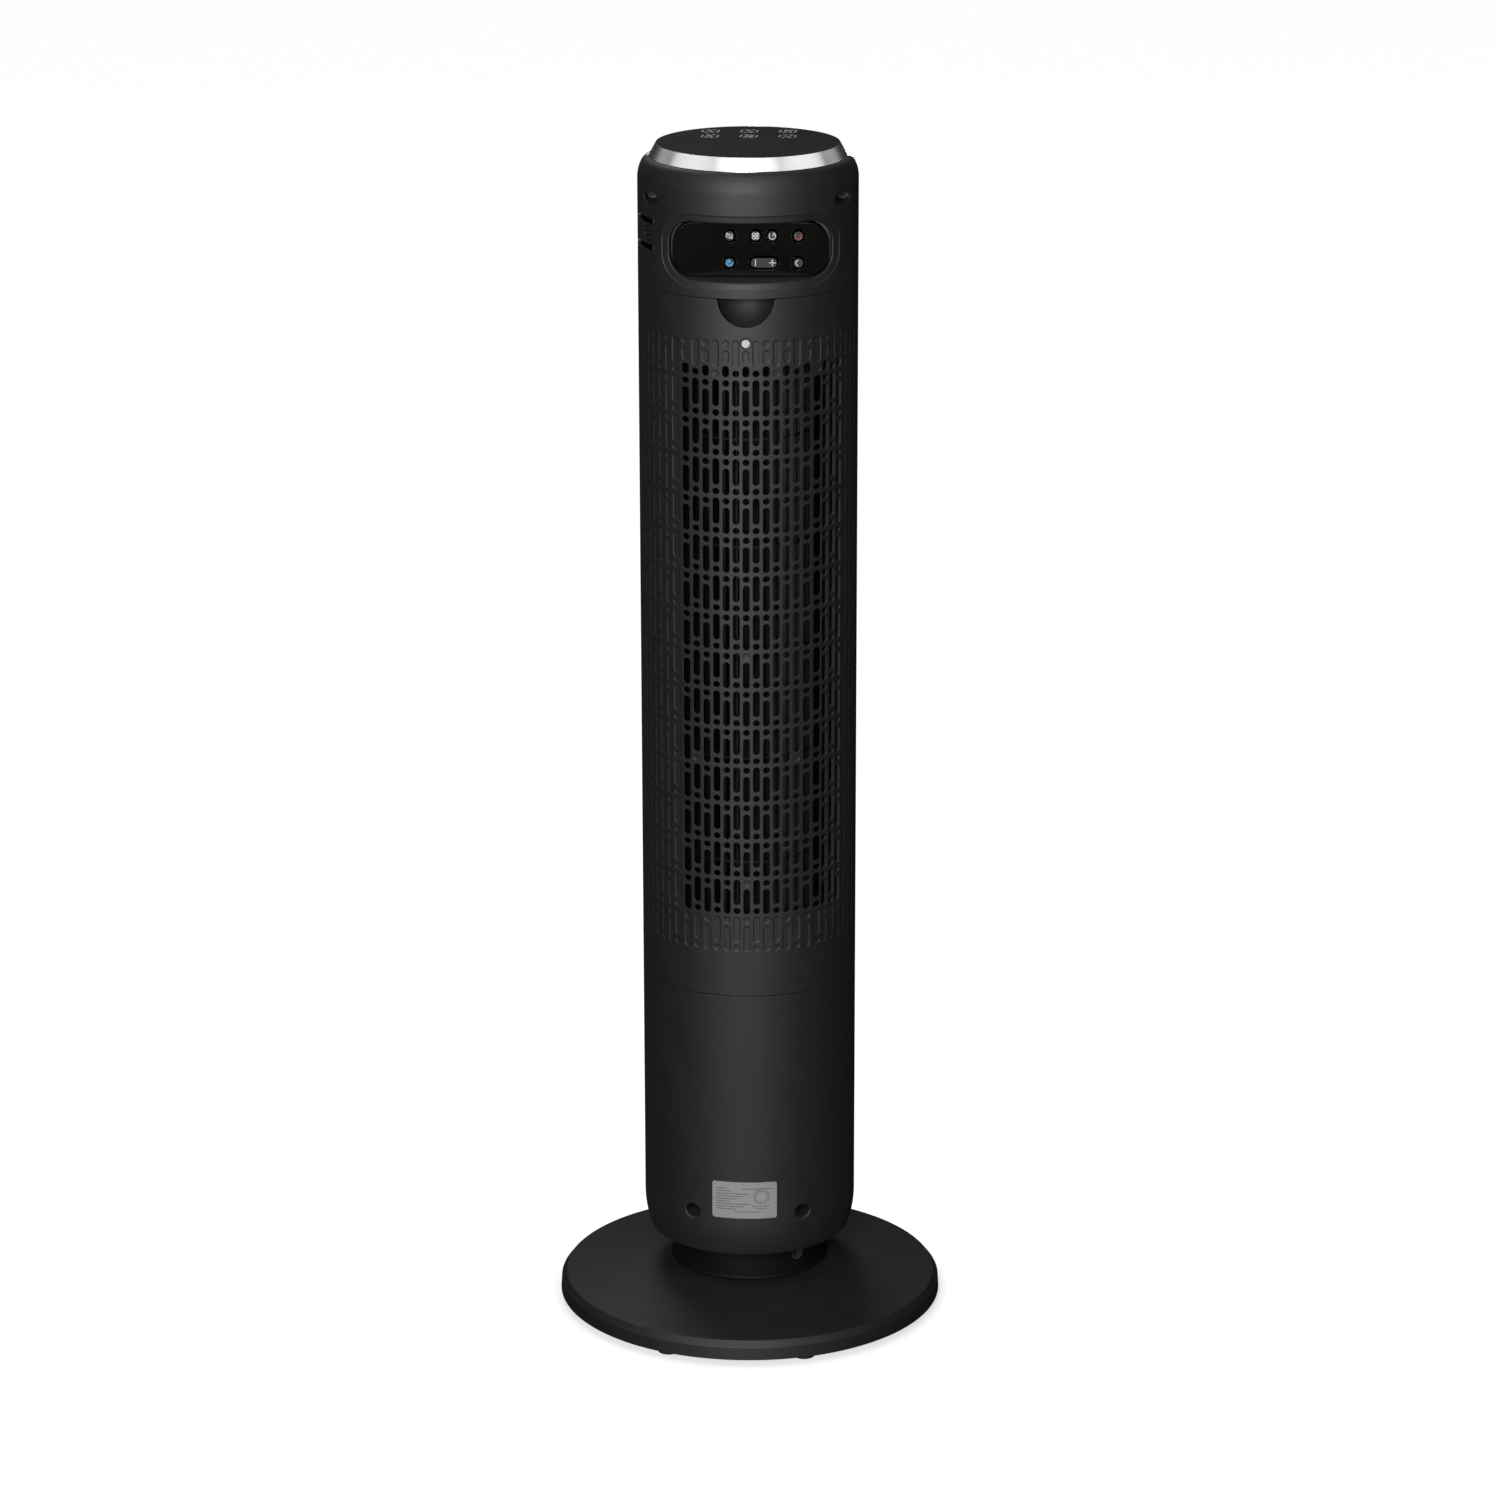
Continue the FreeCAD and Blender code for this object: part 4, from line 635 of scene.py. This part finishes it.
def niche():
    """The remote control's place, in a shallow dished surround."""
    loop = rounded_loop(REMOTE_X, NICHE_Z, *NICHE_SIZE, steps=10)
    rings = [
        (6.4, 0, 0),
        (6.0, 0.1, 35),
        (5.6, 0.35, 35),
        (5.2, 0.45, 8),
        (1.5, 0.9, 8),
        (0.9, 1.05, 40),
        (0.25, 1.6, 50),
        (0, 2.2, 90),
        (0, 0, 90, NICHE_FLOOR + 1.4),
        (-0.4, 0, 45, NICHE_FLOOR + 0.4),
        (-1.4, 0, 0, NICHE_FLOOR),
    ]
    return Cut(loop, rings, drill, unrolled, closed=True, shell=2.2)


def sensor_slots():
    """Air slots of the room sensor in the left wall."""
    cuts = []
    for z in (CROWN - 42.3, CROWN - 61.8):
        cuts.append(Cut(rounded_loop(-100.5, z, 43, 4.7, 2.3), soft_edge(0.3, WALL)))
    for step in range(4):
        loop = rounded_loop(-91.5, CROWN - 56.4 + 3.4 * step, 12.5, 1.2, 0.5)
        cuts.append(Cut(loop, soft_edge(0.15, WALL)))
    return cuts


def wall_ends():
    return SKIRT_TOP - SKIRT.length - 2.4, SHOULDER_LOW + SHOULDER.length + 8.0


def opening(half, low, high):
    """A large opening through the wall, with its half width as an angle."""
    loop = rounded_loop(0, (low + high) / 2, 2 * TOWER * half, high - low, 0.5, steps=3)
    return Cut(loop, soft_edge(0.3, WALL))


def housing(cuts):
    low, high = wall_ends()
    reach = TOWER * math.pi / 2 - 0.1
    outline = block_outline(-reach, reach, low, high, guide_rows(low, high, GUIDE_GAP))
    return sheet(outline, cuts, WALL, edge=0.25)


def behind_wall(across, along, depth):
    return wrap(across, along, depth + WALL)


def seam_lip(side):
    """The strip inside the seam between the two halves."""
    low, high = wall_ends()
    low, high = low + 4, high - 12
    seam = side * TOWER * math.pi / 2
    outline = block_outline(seam - 4, seam + 4, low, high, guide_rows(low, high, GUIDE_GAP))
    return sheet(outline, [], 1.2, edge=0.2, ground=behind_wall)


def liner(half, low, high, window, others=()):
    """The inner step that a panel rests on, just behind the wall."""
    reach = TOWER * half
    points = block_outline(-reach, reach, low, high)
    window_half, window_low, window_high = window
    middle_height = (window_low + window_high) / 2
    loop = rounded_loop(0, middle_height, 2 * TOWER * window_half, window_high - window_low, 1)
    edge = [(0.3, 0, 0), (0, 0.3, 90), (0, LINER_THICK, 90)]
    cuts = [Cut(loop, edge, behind_wall), *others]
    return sheet(points, cuts, LINER_THICK, edge=0.2, ground=behind_wall)


def scoop_hole():
    """A half disc through the liner, where the bowl behind the notch begins."""

    def behind(x, z, depth, level=None):
        return drill(x, z, depth + WALL)

    points = [(SCOOP * math.cos(a), SCOOP_TOP + SCOOP * math.sin(a)) for a in half_circle(ARC_STEPS)]
    outline = [(x, z, -dx, -dz) for x, z, dx, dz in framed(points)]
    rings = [(0.5, 0, 0), (0.1, 0.1, 35), (0, 0.5, 85), (0, LINER_THICK, 90)]
    return Cut(outline[::-1], rings, behind, unrolled)


def half_circle(count):
    """Angles from the left round below to the right."""
    return [math.pi + math.pi * i / count for i in range(count + 1)]


WELLS = [(70.4, CROWN - 24.8), (42.4, FOOT + 35.2)]
rear_cuts = [well(side * x, z) for x, z in WELLS for side in (1, -1)]
rear_cuts += [niche()] + sensor_slots()
rear_cuts.append(opening(math.radians(82), COVER_LOW - SEAM_GAP, COVER_TOP + SEAM_GAP))
rear = housing(rear_cuts)
window = (math.radians(77), COVER_LOW + 7.6, COVER_TOP - 50.1)
rear.joined(liner(math.radians(88), COVER_LOW - 6, COVER_TOP + 6, window, [scoop_hole()]))
for side in (1, -1):
    rear.joined(seam_lip(side))
piece("rear_shell", rear, LIBRARY["black_abs"], "tower", ["rear_housing"])


def scoop():
    """The half bowl behind the cover's notch."""
    shape = Shape()
    rows = []
    bowl, centre, count = 30.8, 96.8, 14
    for radius, thick in ((bowl, 0), (bowl + 2.0, 1)):
        for i in range(count + 1):
            rho = 24.5 * (i if not thick else count - i) / count
            y = -centre + math.sqrt(radius**2 - rho**2)
            heading = Vector((rho, 0, y + centre)).normalized() * (1 if thick else -1)
            row = []
            for angle in half_circle(ARC_STEPS):
                c, s = math.cos(angle), math.sin(angle)
                normal = (heading.x * c, heading.z, heading.x * s)
                row.append(shape.add((rho * c, y, SCOOP_TOP + rho * s), normal))
            rows.append(row)
    for first, second in zip(rows, rows[1:] + rows[:1]):
        shape.strip(first, second, close=False)
    lid = [row[0] for row in rows[: count + 1]] + [row[-1] for row in reversed(rows[: count + 1])]
    spots = [shape.add(shape.points[i], (0, 0, -1)) for i in lid]
    shape.faces.append(tuple(spots))
    return shape


# The scoop's darker material is painted shade inside the pocket.
piece("finger_scoop", scoop(), LIBRARY["bowl"], "tower")


def outlet_slots():
    cuts = []
    for column in range(-6, 7):
        for row in range(5):
            x, z = column * 8.0, OUTLET[1].z - 55.7 - row * 102.4
            loop = rounded_loop(x, z, 4.8, 84.8, 2.4)
            cuts.append(Cut(loop, soft_edge(0.45, GRILLE_THICK), drill, unrolled))
    return cuts


def display_cut():
    low, high = corners("display_window")
    loop = rounded_loop(0, (low.z + high.z) / 2, 64.4, 24.4, 5.2)
    return Cut(loop, soft_edge(0.4, WALL), drill, unrolled)


outlet_half = math.radians(42)
front = housing([opening(outlet_half, OUTLET[0].z - 0.3, OUTLET[1].z + 0.3), display_cut()])
window = (math.radians(37.5), OUTLET[0].z + 5.7, OUTLET[1].z - 5.7)
front.joined(liner(math.radians(47), OUTLET[0].z - 8.3, OUTLET[1].z + 7.7, window))
front.half_turned()
front_shell = piece("front_shell", front, LIBRARY["black_abs"], "tower", ["front_housing"])

reach = TOWER * math.radians(41.7)
grille = sheet(block_outline(-reach, reach, OUTLET[0].z, OUTLET[1].z), outlet_slots(), GRILLE_THICK)
grille.half_turned()
outlet = piece("outlet_skin", grille, LIBRARY["grey_plastic"], "tower", ["outlet_grille"])


# ---------------------------------------------------------------- base and top


def base_skin():
    """The domed base cover, open in the middle for the neck."""
    rim, bevel, plateau = BASE[1].x, BASE[1].x - 4.4, 62
    low, high = BASE[0].z, BASE[1].z
    corner_list = [
        (28, high - 3, 0.2),
        (plateau - 0.5, high - 3, 1),
        (bevel - 1.4, high - 17, 1),
        (rim - 3.6, high - 19.8, 0.8),
        (rim - 3, low, 0.2),
        (rim, low, 0.7),
        (rim - 0.6, high - 18.8, 1.0),
        (bevel, high - 14, 1.6),
        (plateau, high, 16),
        (28, high, 0.3),
    ]
    return lathe(soft_profile(corner_list, 6))


piece("base_skin", base_skin(), LIBRARY["black_base"], "base", ["base_cover"])


def ring_skin():
    wide, narrow = RING[1].x, PANEL[1].x
    low, high = RING[0].z, RING[1].z
    corner_list = [
        (wide - 3, low, 0.1),
        (wide, low, 0.35),
        (narrow + 0.4, high, 0.3),
        (narrow + 0.1, high, 0.05),
        (narrow + 0.1, high - 2.4, 0.1),
        (narrow - 2.2, high - 2.4, 0.1),
        (narrow - 2.2, low + 1.6, 0.1),
        (wide - 3, low + 1.6, 0.1),
    ]
    return lathe(soft_profile(corner_list))


ring = piece("ring_skin", ring_skin(), LIBRARY["ring_metal"], "tower", ["chrome_ring"])


# ---------------------------------------------------------------- remote control

remote_size = CASE[1] - CASE[0]
remote_loop = rounded_loop(REMOTE_X, REMOTE_Z, remote_size.x, remote_size.z, REMOTE_CORNER, 10)
case_back = -CASE[1].y
case_front = -CASE[0].y
case_rings = [
    (-1.6, case_back, 180),
    (-0.5, case_back + 0.4, 135),
    (0, case_back + 1.6, 90),
    (0, case_front - 0.25, 90),
    (-0.25, case_front, 45),
    (-0.6, case_front, 0),
]
case = stack(remote_loop, case_rings)
piece("case_skin", case, LIBRARY["remote_shell"], "remote", ["remote_case"])

ROUND_KEYS = ["mute_button", "mode_button", "timer_button", "power_button", "display_button", "swing_button"]


def middle(node):
    low, high = corners(node)
    return (low + high) / 2


def key_loop(node, more=0.0):
    """A key's outline, from the middle of its CAD part."""
    spot = middle(node)
    low, high = corners(node)
    wide = high.x - low.x if node == "speed_rocker" else 2 * KEY
    size = 2 * (KEY + more)
    return rounded_loop(spot.x, spot.z, wide + 2 * more, size, KEY + more, 10)


def face_skin():
    cuts = [Cut(key_loop(node, 0.22), soft_edge(0.2, 1.2), plane) for node in ROUND_KEYS + ["speed_rocker"]]
    outline = [(x, z) for x, z, _, _ in remote_loop[::-1]]
    return sheet(outline, cuts, 1.2, edge=0.5, ground=plane, guides=(8.0, 8.0))


piece("face_skin", face_skin(), LIBRARY["remote_plate"], "remote", ["remote_face"])

key_top = -corners("mute_button")[0].y
for node in ROUND_KEYS + ["speed_rocker"]:
    key_rings = [
        (0, REMOTE_FRONT - 2.0, 90),
        (0, key_top - 0.5, 90),
        (-0.15, key_top - 0.15, 45),
        (-0.5, key_top - 0.02, 5),
        (-1.6, key_top, 0),
    ]
    name = node.replace("button", "key") + "_cap"
    piece(name, stack(key_loop(node), key_rings), LIBRARY["key_rubber"], node + "_body", [node])


# ---------------------------------------------------------------- printed marks


def arc(x, z, radius, first, last, count=16):
    turns = [math.radians(first + (last - first) * i / count) for i in range(count + 1)]
    return [(x + radius * math.cos(turn), z + radius * math.sin(turn)) for turn in turns]


def on_key(x, z, lift):
    return Vector((x, -key_top - lift, z))


def on_top(x, y, lift):
    return Vector((x, y, PANEL[1].z + lift))


def on_label(x, z, lift):
    reach = TOWER + 0.15 + lift
    return Vector((x, -math.sqrt(reach**2 - x**2), z))


def print_marks(name, strokes, width, place, material, body):
    """Thin raised ink: each stroke is a line of points."""
    shape = Shape()
    for stroke in strokes:
        rows = []
        for i, (u, v) in enumerate(stroke):
            before, after = stroke[max(0, i - 1)], stroke[min(len(stroke) - 1, i + 1)]
            along = Vector((after[0] - before[0], after[1] - before[1])).normalized()
            side = Vector((-along.y, along.x)) * width / 2
            cross = [place(u + side.x, v + side.y, INK_HIGH), place(u - side.x, v - side.y, INK_HIGH)]
            cross += [place(u - side.x, v - side.y, INK_LOW), place(u + side.x, v + side.y, INK_LOW)]
            out = (cross[0] - cross[3]).normalized()
            rows.append([shape.add(spot, out) for spot in cross])
        for first, second in zip(rows, rows[1:]):
            shape.strip(second, first)
        shape.faces.append(tuple(rows[0]))
        shape.faces.append(tuple(reversed(rows[-1])))
    piece(name, shape, material, body)


def key_marks(node, strokes, ink, width=0.5):
    spot = middle(node)
    shifted = [[(spot.x + u, spot.z + v) for u, v in stroke] for stroke in strokes]
    name = node + "_mark"
    print_marks(name, shifted, width, on_key, INK[ink], node + "_body")


speaker = [(-2.3, -0.8), (-1.2, -0.8), (0.2, -2.0), (0.2, 2.0), (-1.2, 0.8), (-2.3, 0.8), (-2.3, -0.8)]
key_marks("mute_button", [speaker, arc(0.2, 0, 1.9, -50, 50, 6), [(-2.2, 2.3), (2.2, -2.3)]], "white")
petals = [arc(1.25 * u, 1.25 * v, 1.0, 0, 360) for u in (-1, 1) for v in (-1, 1)]
key_marks("mode_button", petals, "white", 0.5)
key_marks("timer_button", [arc(0, 0, 2.3, 80, -230), [(0, 0), (1.4, 1.5)]], "white")
key_marks("power_button", [arc(0, 0, 2.3, 40, -220), [(0.2, 0), (2.6, 0)]], "red", 0.6)
flower = [arc(0, 0.2, 2.2, 180, 360, 10), arc(-0.2, 1.0, 0.9, 0, 360, 10), [(-2.4, 2.0), (-1.2, 0.8)]]
key_marks("display_button", flower, "blue", 0.9)
key_marks("swing_button", [arc(0.5, 0, 2.2, 110, 250, 10)], "white", 0.6)
slower_faster = [[(-6.2, -2.4), (-6.2, 2.4)], [(3.7, 0), (8.7, 0)], [(6.2, -2.5), (6.2, 2.5)]]
key_marks("speed_rocker", slower_faster, "white", 0.55)


def touch_symbols():
    """Six touch spots, each a broken ring round a plain symbol."""
    strokes = []
    spots = [(x, y) for y in (24, 46) for x in (-29, 0, 29)]
    symbols = [
        [arc(0, 0, 2.2, 30, 330)],
        [arc(-1.2, 0, 1.4, 0, 360), arc(1.6, 0, 1.4, 0, 360)],
        [[(-2.4, 0), (2.4, 0)]],
        [[(-2.4, 0), (2.4, 0)], [(0, -2.4), (0, 2.4)]],
        [arc(0, -1.2, 2.6, 30, 150), arc(0, -1.2, 1.2, 30, 150)],
        [arc(0, 0, 2.3, -50, 230), [(0, 0.6), (0, 3)]],
    ]
    for (x, y), symbol in zip(spots, symbols):
        for start in range(0, 360, 45):
            strokes.append(arc(x, y, 6.4, start, start + 30, 6))
        strokes += [[(x + u, y + v) for u, v in stroke] for stroke in symbol]
    return strokes


print_marks("touch_symbols", touch_symbols(), 0.85, on_top, INK["pale"], "tower")


def label_marks():
    """Plain bars in the place of a rating label's print."""
    spot = middle("rating_label")

    def bar(first, last, v):
        count = max(1, round((last - first) / 2))
        return [(spot.x + first + (last - first) * i / count, spot.z + v) for i in range(count + 1)]

    strokes = [bar(-22, -13, 9.6), bar(-2, 22, 9.6), bar(6, 20, -4.8), bar(9, 17, -6.8), bar(-8, 12, -9.4)]
    for row in range(8):
        strokes.append(bar(-22, -11 + 5 * (row * 3 % 4), 7.4 - 2.1 * row))
    return strokes


print_marks("label_marks", label_marks(), 0.5, on_label, INK["dark"], "tower")
centre = middle("rating_label")
seal = [arc(centre.x + 13, centre.z + 3, 6, 0, 360, 32), arc(centre.x + 13, centre.z + 3, 4.6, 0, 360, 32)]
print_marks("label_seal", seal, 0.4, on_label, INK["dark"], "tower")


# ---------------------------------------------------------------- floor, light and camera

scene = bpy.context.scene
scene.view_settings.view_transform = "Standard"


def floor():
    """A pale floor that stays bright by its own glow, and takes only a soft shadow: a painted shadow, the
    glow dimmed by ambient occlusion near the base.
    """
    mesh = bpy.data.meshes.new("floor")
    size = 30.0
    square = [(-size, -size, 0), (size, -size, 0), (size, size, 0), (-size, size, 0)]
    mesh.from_pydata(square, [], [(0, 1, 2, 3)])
    item = bpy.data.objects.new("floor", mesh)
    scene.collection.objects.link(item)
    material, nodes, links, shader = material_start("pale_floor", 0.9)
    shader.inputs["Base Color"].default_value = (0.25, 0.25, 0.25, 1)
    shader.inputs["Specular IOR Level"].default_value = 0.0
    shader.inputs["Emission Color"].default_value = (1, 1, 1, 1)
    # Painted shadow: ambient occlusion within 5 cm dims the floor's glow round the base.
    near = nodes.new("ShaderNodeAmbientOcclusion")
    near.inputs["Distance"].default_value = 0.05
    glow_with_painted_shadow = nodes.new("ShaderNodeMapRange")
    glow_with_painted_shadow.inputs["From Min"].default_value = 0.5
    glow_with_painted_shadow.inputs["From Max"].default_value = 0.98
    glow_with_painted_shadow.inputs["To Min"].default_value = 0.66
    glow_with_painted_shadow.inputs["To Max"].default_value = 0.98
    links.new(near.outputs["AO"], glow_with_painted_shadow.inputs["Value"])
    links.new(glow_with_painted_shadow.outputs["Result"], shader.inputs["Emission Strength"])
    mesh.materials.append(material)
    item.visible_diffuse = False
    item.visible_glossy = False


def softbox(name, spot, target, wide, tall, power, only=()):
    """A flat lamp. It lights everything, or only the objects named."""
    data = bpy.data.lights.new(name, "AREA")
    data.shape = "RECTANGLE"
    data.size, data.size_y, data.energy = wide, tall, power
    item = bpy.data.objects.new(name, data)
    item.location = spot
    item.rotation_euler = (Vector(target) - Vector(spot)).to_track_quat("-Z", "Y").to_euler()
    scene.collection.objects.link(item)
    if only:
        lit = bpy.data.collections.new(name + "_lit")
        for thing in only:
            lit.objects.link(thing)
        item.light_linking.receiver_collection = lit


def world():
    """A dim room, with a white backdrop where the camera sees past the floor."""
    surroundings = bpy.data.worlds.new("studio")
    surroundings.use_nodes = True
    nodes, links = surroundings.node_tree.nodes, surroundings.node_tree.links
    background = nodes["Background"]
    background.inputs["Color"].default_value = (1, 1, 1, 1)
    backdrop = nodes.new("ShaderNodeMapRange")
    backdrop.inputs["To Min"].default_value = 0.02
    backdrop.inputs["To Max"].default_value = 1.0
    links.new(nodes.new("ShaderNodeLightPath").outputs["Is Camera Ray"], backdrop.inputs["Value"])
    links.new(backdrop.outputs["Result"], background.inputs["Strength"])
    scene.world = surroundings


RING_SPOT = (0, 0, 0.915)
floor()
world()
softbox("front_box", (-0.3, -3.3, 1.5), (0, 0, 0.4), 1.0, 1.5, 138)
softbox("ring_box_middle", (0, -1.25, 2.25), RING_SPOT, 2.1, 0.6, 6.0, [ring])
softbox("ring_box_left", (-1.38, -0.4, 1.94), RING_SPOT, 2.0, 0.6, 4.3, [ring])
softbox("ring_box_right", (1.38, -0.4, 1.94), RING_SPOT, 2.0, 0.6, 4.6, [ring])
softbox("ring_box_left_end", (-1.3, 1.3, 1.7), RING_SPOT, 1.6, 0.8, 1.6, [ring])
softbox("ring_box_right_end", (1.3, 1.3, 1.7), RING_SPOT, 1.6, 0.8, 1.6, [ring])
softbox("top_box", (-0.2, -0.9, 2.9), (0, 0, 0.5), 0.9, 0.6, 10)
outlet_side = [front_shell, outlet, frame["nodes"]["display_window"]]
softbox("back_box", (0.4, 3.3, 1.6), (0, 0, 0.45), 1.0, 1.5, 200, outlet_side)
softbox("far_box", (-0.6, 1.9, 3.2), (0, 0, 0.5), 1.2, 1.2, 24)

lens = bpy.data.cameras.new("camera")
lens.lens = 117.763
lens.sensor_width = 36.0
camera = bpy.data.objects.new("camera", lens)
camera.location = (0.0820, -3.6147, 1.5477)
camera.rotation_euler = Euler((math.radians(73.084), math.radians(0.09), math.radians(1.26)), "XYZ")
scene.collection.objects.link(camera)
scene.camera = camera
